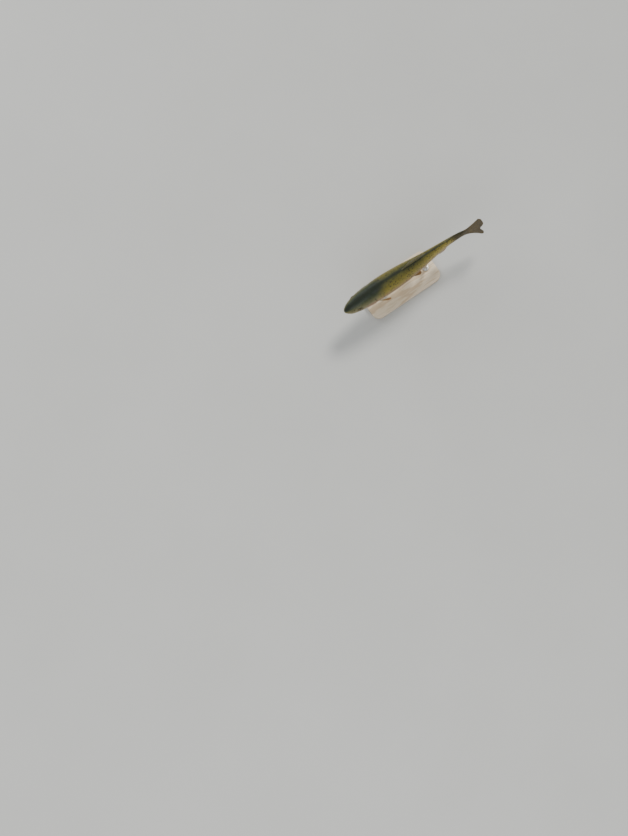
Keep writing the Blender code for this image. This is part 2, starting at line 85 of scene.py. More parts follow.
COAT_DEPTH = 0.4  # how deep the skin lies under the smooth body where scales cover it
GILL_EDGE, NAPE_FORWARD, THROAT_FORWARD = 0.203, 0.036, 0.06  # of the total length
TAPER_START, TAPER_END = 382.0, 399.0  # the flesh thins between these and ends inside the tail fin
EYE_FROM_SNOUT, EYE_ANGLE = 38.0, math.radians(72)
EYE_RADIUS, EYE_DEPTH_RADIUS, EYE_PROUD = 7.6, 3.0, 1.3


# ---------------- smooth curves

def hermite(xs, ys, x):
    """A monotone cubic through the points xs, ys, read at x."""
    xs, ys, x = np.asarray(xs, float), np.asarray(ys, float), np.asarray(x, float)
    step = np.diff(xs)
    slope = np.diff(ys) / step
    tangent = np.empty_like(ys)
    tangent[0], tangent[-1] = slope[0], slope[-1]
    product = slope[:-1] * slope[1:]
    total = slope[:-1] + slope[1:]
    tangent[1:-1] = np.where(product > 0, 2 * product / np.where(total == 0, 1, total), 0)
    x = np.clip(x, xs[0], xs[-1])
    i = np.clip(np.searchsorted(xs, x) - 1, 0, len(step) - 1)
    t = (x - xs[i]) / step[i]
    a = (1 + 2 * t) * (1 - t) ** 2
    b = t * (1 - t) ** 2 * step[i]
    c = t * t * (3 - 2 * t)
    d = t * t * (t - 1) * step[i]
    return a * ys[i] + b * tangent[i] + c * ys[i + 1] + d * tangent[i + 1]


def smooth(low, high, x):
    t = np.clip((x - low) / (high - low), 0, 1)
    return t * t * (3 - 2 * t)


def hill(distance, width):
    return np.exp(-((distance / width) ** 2))


def unit(v):
    return v / np.maximum(np.linalg.norm(v, axis=-1, keepdims=True), 1e-12)


# ---------------- the straight fish and its bend

def heading(s):
    """The spine's turn toward the fish's left at s total lengths from the snout."""
    flex = TAIL_TURN * np.clip((s - TURN_START) / (TURN_END - TURN_START), 0, 1) ** 2
    wave = SWAY * np.sin(2 * math.pi * np.clip((s - SWAY_START) / (SWAY_END - SWAY_START), 0, 1))
    return flex + wave


SPINE_S = np.linspace(0, 1.02, 409)
SPINE_STEP = (SPINE_S[1] - SPINE_S[0]) * TOTAL_LENGTH * MM
MIDWAY = heading((SPINE_S[1:] + SPINE_S[:-1]) / 2)
SPINE_X = np.concatenate([[0], np.cumsum(np.cos(MIDWAY))]) * SPINE_STEP + SNOUT_X
SPINE_Y = -np.concatenate([[0], np.cumsum(np.sin(MIDWAY))]) * SPINE_STEP


def place(p):
    """Points of the straight frame, in mm, carried into the row frame, in metres."""
    p = np.asarray(p, float)
    s = p[..., 0] / TOTAL_LENGTH
    turn = heading(s)
    ahead = np.minimum(p[..., 0], 0) * MM
    x = np.interp(s, SPINE_S, SPINE_X) + np.sin(turn) * p[..., 1] * MM + ahead
    y = np.interp(s, SPINE_S, SPINE_Y) + np.cos(turn) * p[..., 1] * MM
    return np.stack([x, y, AXIS_HEIGHT + p[..., 2] * MM], axis=-1)


def station(column, along):
    """A column of STATIONS, read smoothly at any distance from the snout."""
    return hermite(STATIONS[:, 0], STATIONS[:, column], along)


def surface(along, angle):
    """The body's surface in the straight frame; the angle goes from the back round the left flank."""
    back, belly, half, level, upper, lower = (station(k, along) for k in range(1, 7))
    left_over = 1 - np.clip(along / NOSE_ROUND, 0, 1)
    nose = np.sqrt(1 - left_over ** 2)
    level = level + (NOSE_LEVEL - level) * left_over ** 2
    half = half * np.sqrt(1 - np.clip((along - TAPER_START) / (TAPER_END - TAPER_START), 0, 1) ** 2)
    cos, sin = np.cos(angle), np.sin(angle)
    fullness = np.where(cos > 0, upper, lower)
    height = np.where(cos > 0, back - level, level - belly) * nose
    radius = (np.abs(cos) ** fullness + np.abs(sin) ** fullness) ** (-1 / fullness)
    side = -half * nose * radius * sin
    return np.stack(np.broadcast_arrays(along, side, level + height * radius * cos), axis=-1)


def outward(along, angle):
    """The unit normal of the smooth body, pointing out."""
    e = 1e-3
    run = surface(along + e, angle) - surface(along - e, angle)
    turn = surface(along, angle + e) - surface(along, angle - e)
    return unit(np.cross(turn, run))


def gill_edge(angle):
    """Where the gill cover ends, in mm from the snout: drawn forward at the nape and the throat."""
    nape = (0.5 + 0.5 * np.cos(angle)) ** 3
    throat = (0.5 - 0.5 * np.cos(angle)) ** 4
    return (GILL_EDGE - NAPE_FORWARD * nape - THROAT_FORWARD * throat) * TOTAL_LENGTH


def folded(angle):
    """An angle measured from the back down either side."""
    return np.where(angle > math.pi, 2 * math.pi - angle, angle)


DENSE = np.linspace(0, 2 * math.pi, 721)


def angles_at(along_of, girth):
    """The angles at shares of the girth, and the girth, of a ring at along_of(angle) from the snout."""
    ring = surface(along_of(DENSE), DENSE)
    length = np.concatenate([[0], np.cumsum(np.linalg.norm(np.diff(ring, axis=0), axis=1))])
    return np.interp(girth, length / length[-1], DENSE), length[-1]


# ---------------- meshes

def add_object(name, data):
    made = bpy.data.objects.new(name, data)
    bpy.context.scene.collection.objects.link(made)
    return made


def add_piece(name, mesh, finish):
    """A finished mesh as a piece that rides the root."""
    mesh.materials.append(finish)
    made = add_object(name, mesh)
    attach(made, "root")
    return made


def mesh_piece(name, points, faces, finish, fields, uv=None, sharp=None):
    """A mesh piece from points in metres and arrays of equal-sided faces.

    fields are numbers a point, read by the materials; uv is the OFBake map, one pair a point; sharp holds the
    pairs of points whose edge stays crisp.
    """
    mesh = bpy.data.meshes.new(name)
    mesh.vertices.add(len(points))
    mesh.vertices.foreach_set("co", points.astype(np.float32).ravel())
    loops = np.concatenate([f.ravel() for f in faces]).astype(np.int32)
    sizes = np.concatenate([np.full(len(f), f.shape[1]) for f in faces]).astype(np.int32)
    mesh.loops.add(len(loops))
    mesh.loops.foreach_set("vertex_index", loops)
    mesh.polygons.add(len(sizes))
    mesh.polygons.foreach_set("loop_start", (np.cumsum(sizes) - sizes).astype(np.int32))
    mesh.polygons.foreach_set("loop_total", sizes)
    mesh.polygons.foreach_set("use_smooth", np.ones(len(sizes), bool))
    mesh.update(calc_edges=True)
    for key, values in fields.items():
        mesh.attributes.new(key, "FLOAT", "POINT").data.foreach_set("value", values.astype(np.float32))
    if uv is not None:
        mesh.uv_layers.new(name="OFBake").data.foreach_set("uv", uv[loops].astype(np.float32).ravel())
    if sharp is not None:
        ends = np.zeros(len(mesh.edges) * 2, np.int32)
        mesh.edges.foreach_get("vertices", ends)
        edges, crisp = (np.sort(pairs, axis=1) @ (len(points), 1) for pairs in (ends.reshape(-1, 2), sharp))
        mesh.attributes.new("sharp_edge", "BOOLEAN", "EDGE").data.foreach_set("value", np.isin(edges, crisp))
    return add_piece(name, mesh, finish)


def grid_faces(rows, columns, wrap):
    """Quads of a grid of points; wrap closes it round."""
    i = np.arange(rows - 1)[:, None]
    j = np.arange(columns if wrap else columns - 1)[None, :]
    n = (j + 1) % columns
    corners = (i * columns + j, i * columns + n, (i + 1) * columns + n, (i + 1) * columns + j)
    return np.stack([np.broadcast_to(c, (rows - 1, j.size)) for c in corners], -1).reshape(-1, 4)


def round_steps(count):
    """The numbers of a ring's points, and of the point after each."""
    k = np.arange(count)
    return k, (k + 1) % count


def cap(tip, these, those):
    """Triangles from one tip to the edges of a ring."""
    return np.stack([np.full(len(these), tip), these, those], -1)


# ---------------- the head's lines and relief

def smooth_path(points, count=48):
    """A smooth run of points through a few named ones."""
    points = np.array(points, float)
    run = np.concatenate([[0], np.cumsum(np.linalg.norm(np.diff(points, axis=0), axis=1))])
    at = np.linspace(0, run[-1], count)
    return np.stack([hermite(run, points[:, k], at) for k in (0, 1)], -1)


def path_distance(x, z, path):
    """Distance to a path, which side of it (positive above), and the share of the way along it."""
    best = np.full(x.shape, np.inf)
    side, share = np.ones(x.shape), np.zeros(x.shape)
    for k in range(len(path) - 1):
        start, step = path[k], path[k + 1] - path[k]
        t = np.clip(((x - start[0]) * step[0] + (z - start[1]) * step[1]) / (step @ step), 0, 1)
        dx, dz = x - start[0] - t * step[0], z - start[1] - t * step[1]
        d = np.hypot(dx, dz)
        closer = d < best
        best = np.where(closer, d, best)
        side = np.where(closer, np.sign(step[0] * dz - step[1] * dx), side)
        share = np.where(closer, (k + t) / (len(path) - 1), share)
    return best, np.where(side == 0, 1, side), share


# Lines of the head, in mm from the snout and level over the axis.
GAPE = smooth_path([(-3, -3.9), (6, -5.6), (20, -8.4), (34, -12.2), (45, -16.0), (49, -18.2)])
MAXILLA = smooth_path([(9, -4.0), (22, -6.2), (34, -9.6), (46, -14.0)])
MANDIBLE = smooth_path([(53, -19.5), (48, -23.5), (36, -22.5), (20, -17.0), (8, -11.5)])
CHEEK = smooth_path([(27, -2.5), (33, -7.0), (42, -9.0), (51, -5.0), (55, 3.0), (54, 11)])
PREOPERCLE = smooth_path([(58, 15), (62.5, 6), (64, -4), (62.5, -14), (57, -22), (49, -26.5)])
SUBOPERCLE = smooth_path([(64.5, -13), (72, -15.5), (80, -14.5), (89, -9)])
INTEROPERCLE = smooth_path([(63.5, -15.5), (67, -22), (70, -29)])
BROW = smooth_path([(27, 12.5), (33, 15.8), (41, 16.6), (49, 14.0)])
NOSTRILS = [(20.4, 7.4, 1.0), (23.2, 8.2, 1.25)]
EYE_POINT = surface(EYE_FROM_SNOUT, EYE_ANGLE)
EYE_NORMAL = outward(np.array(EYE_FROM_SNOUT), np.array(EYE_ANGLE))
ORBIT = 7.15
THROAT_RAYS = 26  # there would be so many if the gill membrane's rays went on as far as the snout


def beside(path, share, shift):
    """The point that share of the way along a line of the head, moved sideways by shift mm."""
    k = int(share * (len(path) - 2))
    step = unit(path[k + 1] - path[k])
    return path[k] + shift * np.array([-step[1], step[0]])


PORE_RING = 11.2  # mm from the eye's middle to the pores round it
ROUND_EYE = [EYE_POINT[[0, 2]] + PORE_RING * np.array([math.cos(a), math.sin(a)])
             for a in np.radians(np.linspace(-165, 20, 8))]
PORES = [beside(PREOPERCLE, share, -2.4) for share in np.linspace(0.18, 0.92, 6)]
PORES += [beside(MANDIBLE, share, 1.9) for share in np.linspace(0.15, 0.9, 5)] + ROUND_EYE


def mirror(points):
    """What carries points of the right side over to the left, where the eye's own numbers hold."""
    return np.where(points[:, 1:2] > 0, (1.0, -1.0, 1.0), 1.0)


def eye_plane(points):
    """Distance from the eye's line of sight for points on either side, and the offset from it."""
    offset = points * mirror(points) - EYE_POINT
    across = offset - (offset @ EYE_NORMAL)[:, None] * EYE_NORMAL
    return np.linalg.norm(across, axis=1), across


def snap_to_orbit(points, reach):
    """Draw the points nearest the orbit's rim onto it, so that the rim is one clean ring."""
    r, across = eye_plane(points)
    near = (np.abs(r - ORBIT) < reach) & (np.abs(points[:, 0] - EYE_FROM_SNOUT) < 2 * ORBIT)
    pull = across * ((ORBIT / np.maximum(r, 1e-6)) - 1)[:, None] * mirror(points)
    return np.where(near[:, None], points + pull, points)


def snap_to_path(points, normals, path, reach):
    """Slide the points nearest a line of the head along the skin onto it."""
    x, z = points[:, 0], points[:, 2]
    d, _, share = path_distance(x, z, path)
    dx, dz = (np.interp(share, np.linspace(0, 1, len(path)), line) - v for line, v in zip(path.T, (x, z)))
    sideways = np.abs(normals[:, 1]) > 0.35
    dy = -(normals[:, 0] * dx + normals[:, 2] * dz) / np.where(sideways, normals[:, 1], 1)
    return np.where(((d < reach) & sideways)[:, None], points + np.stack([dx, dy, dz], -1), points)


class Relief:
    """How far the head's skin stands out, mm, and the painted shade in its creases, pits and gaps, built up
    feature by feature.
    """

    def __init__(self, points, normals, angle, share):
        self.points, self.share, self.turned = points, share, np.degrees(folded(angle))
        self.x, self.side, self.z = points[:, 0], np.abs(points[:, 1]), points[:, 2]
        self.before_gills = smooth(100, 80, self.x)
        self.flank = smooth(0.15, 0.5, np.abs(normals[:, 1]))
        self.under = smooth(128, 150, self.turned)
        self.out, self.crease_shade = np.zeros(len(points)), np.zeros(len(points))

    def near(self, path):
        return path_distance(self.x, self.z, path)

    def lift(self, height, distance, width, where):
        """Raise a rounded line, or sink a groove where the height is negative."""
        self.out += height * hill(distance, width) * where

    def darken(self, amount, where):
        # Painted shade in a crease, pit or gap: the darkest asked for at each point is kept.
        self.crease_shade = np.maximum(self.crease_shade, amount * where)

    def groove(self, distance, height, width, dark, dark_width, where):
        """A line sunk by its height, below nought, with painted shade along its middle."""
        self.lift(height, distance, width, where)
        self.darken(dark * hill(distance, dark_width), where)


def sculpt_mouth(head):
    """The cleft, with painted shade in it, the lips either side of it, and the lower jaw set a little back.
    """
    d, above, at = head.near(GAPE)
    cleft = smooth(1.0, 0.93, at)
    head.lift(1.5 * at - 2.1, d, 0.42 + 0.22 * at, cleft)
    head.lift(0.42, d - 1.35, 0.85, cleft * np.where(above > 0, 1.0, 0.8))
    head.out -= 0.55 * smooth(12, 0, head.x) * smooth(0.4, 1.2, d) * (above < 0)
    head.darken(hill(d, 0.55), cleft)


def sculpt_jaws(head):
    """The maxilla, a long strap over the mouth's corner, and the lower jaw's edge over the throat, with
    painted shade in the grooves along both.
    """
    d, _, at = head.near(MAXILLA)
    strap = d - (1.5 + 2.0 * at)
    past_snout = head.flank * smooth(10, 16, head.x)
    head.out += 0.62 * smooth(0.45, -0.45, strap) * head.flank * smooth(8, 14, head.x)
    head.lift(-0.38, strap - 0.35, 0.5, past_snout)
    head.darken(0.55 * hill(strap - 0.3, 0.5), past_snout)
    d, above, _ = head.near(MANDIBLE)
    head.out += 0.225 * np.where(above < 0, -1, 1) * smooth(1.6, 0.2, d) * head.flank * head.before_gills
    head.groove(d, -0.35, 0.7, 0.4, 0.6, head.flank)


def sculpt_round_eye(head):
    """The eye's rim, ridge and socket, with painted shade in the groove round them and at the socket's rim;
    the brow, and the cheek's bones below and behind.
    """
    r, _ = eye_plane(head.points)
    close = np.abs(head.x - EYE_FROM_SNOUT) < 2.5 * ORBIT
    head.lift(0.55, r - 8.0, 0.75, close)
    head.groove(r - 9.6, -0.3, 0.7, 0.25, 0.6, close)
    head.out -= 4.2 * smooth(ORBIT + 0.05, ORBIT - 0.75, r) * close
    head.darken(0.75 * hill(r - ORBIT, 0.55), close)
    head.lift(0.55, head.near(BROW)[0], 2.2, smooth(6.9, 8.4, r))
    d, side, _ = head.near(CHEEK)
    head.lift(0.22, d, 1.4, head.flank)
    head.lift(-0.22, d - 2.0, 0.8, (side < 0) * head.flank)


def sculpt_gill_cover(head):
    """The preopercle, with painted shade along its rear edge, the opercle's bulge and rim, and the plates
    under it, with painted shade in the grooves between them.
    """
    d, side, at = head.near(PREOPERCLE)
    past = d * side
    ends = smooth(0, 0.16, at) * head.flank
    head.out += 0.42 * smooth(-3.5, -0.6, past) * smooth(0.9, 0.0, past) * head.before_gills * ends
    head.lift(-0.55, past - 0.9, 0.85, ends)
    head.darken(0.55 * hill(past - 0.75, 0.6), ends)
    for line in (SUBOPERCLE, INTEROPERCLE):
        d = head.near(line)[0]
        head.groove(d, -0.42, 0.55, 0.45, 0.5, head.flank)
        head.lift(0.18, d - 1.2, 0.8, head.flank)
    head.lift(0.65, np.hypot(head.x - 76, (head.z + 2) * 0.7), 11.0, head.flank * smooth(63, 70, head.x))
    head.lift(0.3, head.share - 0.985, 0.012, smooth(55, 70, head.turned) * (head.share <= 1))


def sculpt_pits(head):
    """Nostrils, two pits either side of a small flap, and the pores of the lateral line's branches, with
    painted shade in the pits and pores.
    """
    for x, z, radius in NOSTRILS:
        d = np.hypot(head.x - x, head.z - z)
        head.out -= 1.1 * smooth(radius + 0.25, radius - 0.55, d) * head.flank
        head.lift(0.28, d - radius - 0.45, 0.4, head.flank)
        head.darken(0.95 * smooth(radius + 0.2, radius - 0.3, d), head.flank)
    for x, z in PORES:
        d = np.hypot(head.x - x, head.z - z)
        head.lift(0.1, d, 1.3, head.flank)
        head.groove(d, -0.42, 0.5, 0.5, 0.45, head.flank)


def sculpt_throat(head):
    """The gill membrane's branching rays, with painted shade between them, the jaw's inner edge, with painted
    shade in its groove, and the groove between the jaws.
    """
    rays = np.cos(2 * math.pi * (1 - head.share) * THROAT_RAYS)
    membrane = head.under * smooth(0.74, 0.8, head.share) * (head.share <= 1)
    head.out += 0.2 * rays * membrane
    head.darken(0.3 * smooth(0.0, -0.9, rays), membrane)
    past_jaw = head.side - 0.55 * station(3, head.x) * smooth(0, 12, head.x)
    under_jaw = head.under * smooth(0.76, 0.7, head.share) * smooth(3, 9, head.x)
    head.groove(past_jaw, -0.75, 0.9, 0.35, 0.8, under_jaw)
    head.lift(0.35, past_jaw - 2.4, 1.2, under_jaw)
    head.lift(-0.35, head.side, 1.0, under_jaw)


def sculpt_crown(head):
    """A low keel between two shallow hollows."""
    crown = smooth(40, 15, head.turned) * smooth(12, 22, head.x) * smooth(92, 70, head.x)
    head.lift(0.16, head.side, 3.4, crown)
    head.lift(-0.14, head.side - 7.0, 3.0, crown)


def head_relief(points, normals, angle, share):
    """How far the head's skin stands out or in, mm, and its painted shade in creases, pits and gaps, 0 to 1.
    """
    head = Relief(points, normals, angle, share)
    for sculpt in (sculpt_mouth, sculpt_jaws, sculpt_round_eye, sculpt_gill_cover, sculpt_pits, sculpt_throat,
                   sculpt_crown):
        sculpt(head)
    return head.out * smooth(0.0, 2.0, head.x + 1.0), np.clip(head.crease_shade, 0, 1)


# ---------------- skin
FINE, COARSE = 420, 105  # points round the head and round the body
SNOUT_ROWS, CHEEK_ROWS, SHOULDER_ROWS, BODY_ROWS, TAPER_ROWS = 38, 122, 17, 112, 12
JOIN = 104.0  # mm from the snout, where the head's curved rows have turned into flat rings
PAST_HEAD = 2.0  # stands for the share of the way to the gill edge on rings behind it
ORBIT_REACH, GAPE_REACH = 0.24, 0.2  # mm from which points are drawn onto the orbit's rim and the gape

# Rows that make the gill opening: shift past the cover's edge where it opens and where it doesn't (mm), and
# how far the skin is tucked in.
GILL_ROWS = [(0.0, 0.05, 0.55), (-0.5, 0.1, 1.25), (-1.1, 0.15, 1.75), (-0.7, 0.25, 2.05), (0.3, 0.45, 1.75),
             (1.2, 0.9, 1.15), (2.2, 1.6, 0.62), (3.2, 2.4, 0.3), (4.3, 3.4, 0.12)]
GILL_TOP = (math.radians(50), math.radians(64))  # the cover lies free from here down to the throat


def head_shares():
    """Shares of the way to the gill edge: even steps over the snout's rounding, then along the cheek."""
    reach = float(gill_edge(math.pi / 2))
    snout = NOSE_ROUND * (1 - np.cos(np.linspace(0, math.pi / 2, SNOUT_ROWS + 2)[2:]))
    cheek = np.linspace(NOSE_ROUND, reach, CHEEK_ROWS + 1)[1:]
    return np.concatenate([snout, cheek]) / reach


def ring(count, along_of, tuck=0.0, share=PAST_HEAD):
    """A ring of the skin: along, angle, girth, tuck and share, for points at even steps round it."""
    girth = np.arange(count) / count
    angle, _ = angles_at(along_of, girth)
    tucked = tuck * smooth(*GILL_TOP, folded(angle))
    return np.stack([along_of(angle), angle, girth, tucked, np.full(count, share)])


def gill_ring(opened, plain, tuck=0.0, blend=0.0):
    """A ring at the gill edge, blended by its last argument into the flat ring at JOIN."""

    def along_of(angle):
        opening = smooth(*GILL_TOP, folded(angle))
        edge = gill_edge(angle) + opened * opening + plain * (1 - opening)
        return edge * (1 - blend) + JOIN * blend

    return ring(FINE, along_of, tuck)


def skin_rings():
    """The fine rings of the head and shoulder, and the coarse ones of the body."""
    fine = [ring(FINE, lambda angle, s=s: gill_edge(angle) * s, share=s) for s in head_shares()]
    fine += [gill_ring(*row) for row in GILL_ROWS]
    fine += [gill_ring(*GILL_ROWS[-1][:2], blend=blend) for blend in np.linspace(0, 1, SHOULDER_ROWS + 1)[1:]]
    taper = np.sin(np.linspace(0, math.pi / 2, TAPER_ROWS + 1))[1:-1] * (TAPER_END - TAPER_START)
    body = np.concatenate([np.linspace(JOIN, TAPER_START, BODY_ROWS + 1)[1:], TAPER_START + taper])
    return fine, [ring(COARSE, lambda angle, along=along: np.full_like(angle, along)) for along in body]


def skin_faces(fine, coarse, tip):
    """Quads over that many fine and coarse rings, the row that joins them, and a cap at either end."""
    (around, after), (k, n) = round_steps(FINE), round_steps(COARSE)
    count, ratio = fine * FINE, FINE // COARSE
    joint = [count - FINE + (k * ratio + m) % FINE for m in range(ratio + 1)]
    joint = np.stack([*joint, count + n, count + k], -1)
    last = count + (coarse - 1) * COARSE
    return [grid_faces(fine, FINE, True), grid_faces(coarse, COARSE, True) + count, joint,
            cap(tip, after, around), cap(tip + 1, last + k, last + n)]


def coat_inset(along, angle):
    """How far the skin lies inside the smooth body, to leave room for the scales."""
    return COAT_DEPTH * smooth(1.0, 6.0, along - gill_edge(angle))


def skin_points(along, angle, tuck, share):
    """The skin's points in the straight frame, and the painted shade of the head's creases, pits and gaps and
    of the tucked-in gill opening.
    """
    points, normals = surface(along, angle), outward(along, angle)
    points = snap_to_path(snap_to_orbit(points, ORBIT_REACH), normals, GAPE, GAPE_REACH)
    out, crease_shade = head_relief(points, normals, angle, share)
    out = out - tuck - coat_inset(along, angle) + fairing(points)
    # painted shade inside the gill opening, where the skin is tucked in
    return points + normals * out[:, None], np.maximum(crease_shade, 0.8 * smooth(0.3, 1.6, tuck))


def blush(x, z):
    """The rosy patch of the cheek and gill cover."""
    return hill(np.hypot((x - 73) / 17, (z + 4) / 15), 1.0)


def pale_jaw(x, z):
    """The pale line of the jaw's bones."""
    d, _, at = path_distance(x, z, MAXILLA)
    return hill(np.maximum(d - 1.2 - 1.6 * at, 0), 0.9) * smooth(100, 80, x)


def make_skin(finish):
    fine, coarse = skin_rings()
    along, angle, girth, tuck, share = np.concatenate(fine + coarse, axis=1)
    points, crease_shade = skin_points(along, angle, tuck, share)
    tip, end = surface(np.array([0.0]), np.array([0.0])), np.array([[TAPER_END, 0.0, 0.0]])
    faces = skin_faces(len(fine), len(coarse), len(points))
    points = np.concatenate([points, tip, end])
    x, _, z = points.T
    fields = {
        "along": x / TOTAL_LENGTH,
        "girth": np.concatenate([2 * np.minimum(girth, 1 - girth), [0.4, 0.5]]),
        # painted shade of the head's creases, pits and gill opening, which the skin's material darkens by
        "crease_shade": np.concatenate([crease_shade, [0, 0]]),
        "blush": blush(x, z),
        "pale": pale_jaw(x, z),
    }
    made = mesh_piece("trout_skin", place(points), faces, finish, fields)
    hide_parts("head", "lower_jaw", "gill_cover_left", "gill_cover_right", "trunk_front", "trunk_rear",
                "tail_base")


# ---------------- scales
ROWS_ROUND = 110  # rows of scales round the trunk
PITCH = 2.35  # mm between one scale and the next in its row
SCALE_LENGTH, SCALE_WIDTH = 3.1, 1.7  # mm, and row spacings
SCALE_THICKNESS, SCALE_SLOPE, SCALE_SINK = 0.085, 0.088, 0.06
SCALE_DOME, PORE_DOME = 0.03, 0.1  # mm that a scale's middle rises, and more on the lateral line
SCALES_BEHIND_EDGE, SCALES_END = 4.6, 396.5  # mm behind the gill edge, and mm from the snout
FIRST_ROWS, FIRST_SINK = 11.0, 0.36  # mm over which the coat rises out of the skin, and by how much
BARE_ROOT = 0.2  # mm that the skin stands out at a fin's root where the scales stop
LATERAL_LINE = 0.235  # share of the ring from the back, on either side
LINE_ROWS = [int(side * ROWS_ROUND) for side in (LATERAL_LINE, 1 - LATERAL_LINE)]
ROW_FADE = 0.035  # a row narrows over this share of the coat on either side of its end
NEVER = 9.0  # the end of a row that reaches the tail fin
NARROWEST, UNEVENNESS = 0.45, 0.07  # of a row's full width, and mm that a scale lies out of its place
OUTLINE = 12  # points round a scale
SPLIT = 0.4  # where the coat is divided into a front and a rear piece, of its length
BAKE_PATCH, BAKE_MARGIN = 0.003, 0.01  # of the OFBake map: each scale's patch, and the map's rim


def row_ends(rng):
    """Where each row of scales ends: one in four before the anal fin, two in seven on the tail's wrist."""
    j = np.arange(ROWS_ROUND)
    ends = np.full(ROWS_ROUND, NEVER)
    for ending, low, high in ((np.isin(j % 7, (2, 5)), 0.7, 0.86), (j % 4 == 3, 0.4, 0.6)):
        ends = np.where(ending, rng.uniform(low, high, ROWS_ROUND), ends)
    ends[LINE_ROWS] = NEVER
    return ends


def coat_column(t):
    """A line across the coat at a share t of its length, as a function of the angle."""

    def along_of(angle):
        front = gill_edge(angle) + SCALES_BEHIND_EDGE
        return front + (SCALES_END - front) * t

    return along_of


def scale_roots():
    """A column a scale: along, angle, ring share, width, tone, 1 on the lateral line, share of the coat."""
    rng = np.random.default_rng(SEED)
    ends = row_ends(rng)
    rows = np.arange(ROWS_ROUND)
    line = np.isin(rows, LINE_ROWS).astype(float)
    columns = int(2 * (SCALES_END - float(gill_edge(math.pi / 2)) - SCALES_BEHIND_EDGE) / PITCH)
    found = []
    for i in range(columns):
        t = (i + 0.5) / columns
        widths = smooth(ends + ROW_FADE, ends - ROW_FADE, t)
        total = widths.sum()
        centres = np.cumsum(widths) / total - widths / total / 2
        angle, girth = angles_at(coat_column(t), centres)
        wide = SCALE_WIDTH * girth / total * np.minimum(widths * 1.15, 1)
        tone = rng.random(ROWS_ROUND)
        shift, swell = rng.normal(0, UNEVENNESS, (2, ROWS_ROUND))
        column = np.stack([coat_column(t)(angle) + shift, angle, centres, wide * (1 + swell * 0.5), tone,
                           line, np.full(ROWS_ROUND, t)])
        found.append(column[:, (rows % 2 == i % 2) & (widths > NARROWEST)])
    roots = np.concatenate(found, axis=1)
    raised = [fairing(surface(roots[0] + ahead, roots[1])) for ahead in (0.0, SCALE_LENGTH / 2)]
    return roots[:, np.maximum(*raised) < BARE_ROOT]


def scale_plates(roots):
    """Every scale as a thin closed plate lying on the skin, its free rear edge standing proud of the next."""
    along, angle, _, width, tone, line, _ = (r[:, None] for r in roots)
    turn = np.arange(OUTLINE) * 2 * math.pi / OUTLINE
    back = np.concatenate([0.5 + 0.5 * np.cos(turn), [0.5]])[None, :]
    across = np.concatenate([0.5 * np.sign(np.sin(turn)) * np.abs(np.sin(turn)) ** 0.8, [0]])[None, :]
    run = SCALE_LENGTH * (0.94 + 0.12 * tone) * back
    around = np.linalg.norm(surface(along, angle + 1e-3) - surface(along, angle - 1e-3), axis=-1) / 2e-3
    at, turned = along + run - SCALE_LENGTH / 2, angle + across * width / around
    low = coat_inset(along, angle) + SCALE_SINK
    low = low + FIRST_SINK * smooth(FIRST_ROWS, 0.0, along - gill_edge(angle) - SCALES_BEHIND_EDGE)
    base, normal = surface(at, turned), outward(at, turned)
    foot = SCALE_SLOPE * run - low + fairing(base.reshape(-1, 3)).reshape(at.shape)
    middle = np.arange(OUTLINE + 1) == OUTLINE
    top = foot + SCALE_THICKNESS + SCALE_DOME * middle + PORE_DOME * line * middle
    upper = base + normal * top[..., None]
    lower = (base + normal * foot[..., None])[:, :OUTLINE]
    return np.concatenate([upper, lower], axis=1), back[0], across[0]


def scale_faces(count):
    """Faces of that many plates: a fan on top, a rim and an underside; and the edges that stay crisp."""
    k, n = round_steps(OUTLINE)
    under = k + OUTLINE + 1
    step = (np.arange(count) * (2 * OUTLINE + 1))[:, None, None]
    rim = np.stack([n, k, under, n + OUTLINE + 1], -1)
    shapes = (cap(OUTLINE, k, n), rim, under[::-1][None], np.stack([k, n], -1))
    *faces, crisp = [(f[None] + step).reshape(-1, f.shape[1]) for f in shapes]
    return faces, crisp


def scale_piece(name, roots, low, high, finish):
    """One piece of the coat, whose scales have their roots between low and high of its length."""
    plates, back, across = scale_plates(roots)
    count, each = plates.shape[:2]
    free, across = (np.concatenate([v, v[:OUTLINE]]) for v in (back, across))
    girth = 2 * np.minimum(roots[2], 1 - roots[2])
    fields = {
        "along": (plates[..., 0] / TOTAL_LENGTH).ravel(),
        "girth": np.repeat(girth, each),
        "tone": np.repeat(roots[4], each),
        "rim": np.tile(np.where(np.arange(each) == OUTLINE, 0.0, free), count),
        "line": np.repeat(roots[5], each),
    }
    span = 1 - 2 * BAKE_MARGIN
    uv = np.stack([BAKE_MARGIN + span * (roots[6] - low) / (high - low), BAKE_MARGIN + span * girth], -1)
    uv = uv[:, None, :] + (np.stack([free - 0.5, across], -1) * BAKE_PATCH)[None]
    faces, crisp = scale_faces(count)
    made = mesh_piece(name, place(plates.reshape(-1, 3)), faces, finish, fields, uv.reshape(-1, 2), crisp)


def make_scales(finish):
    roots = scale_roots()
    share, t = roots[2], roots[6]
    for side, on_side in (("left", share < 0.5), ("right", share >= 0.5)):
        for word, low, high in (("front", 0.0, SPLIT), ("rear", SPLIT, 1.0)):
            mine = roots[:, on_side & (t >= low) & (t < high)]
            scale_piece(f"scales_{side}_{word}", mine, low, high, finish)


# ---------------- fins
# Midline fins: root ends in total lengths, side of the body, the first and last rays' slope in degrees, ray
# lengths in mm at even steps, bend of the rays' ends, and how many rays.
MEDIAN_FINS = {
    "dorsal_fin": dict(
        root=(0.409, 0.529), up=1, slopes=(52, 27), lengths=(37, 45, 44, 39, 34, 29), bend=0.16, rays=12),
    "adipose_fin": dict(
        root=(0.716, 0.744), up=1, slopes=(44, 12), lengths=(9, 13, 16, 16.5, 14), bend=0.1, rays=0),
    "anal_fin": dict(
        root=(0.645, 0.735), up=-1, slopes=(62, 36), lengths=(33, 41, 38, 31, 25, 21), bend=0.16, rays=11),
}
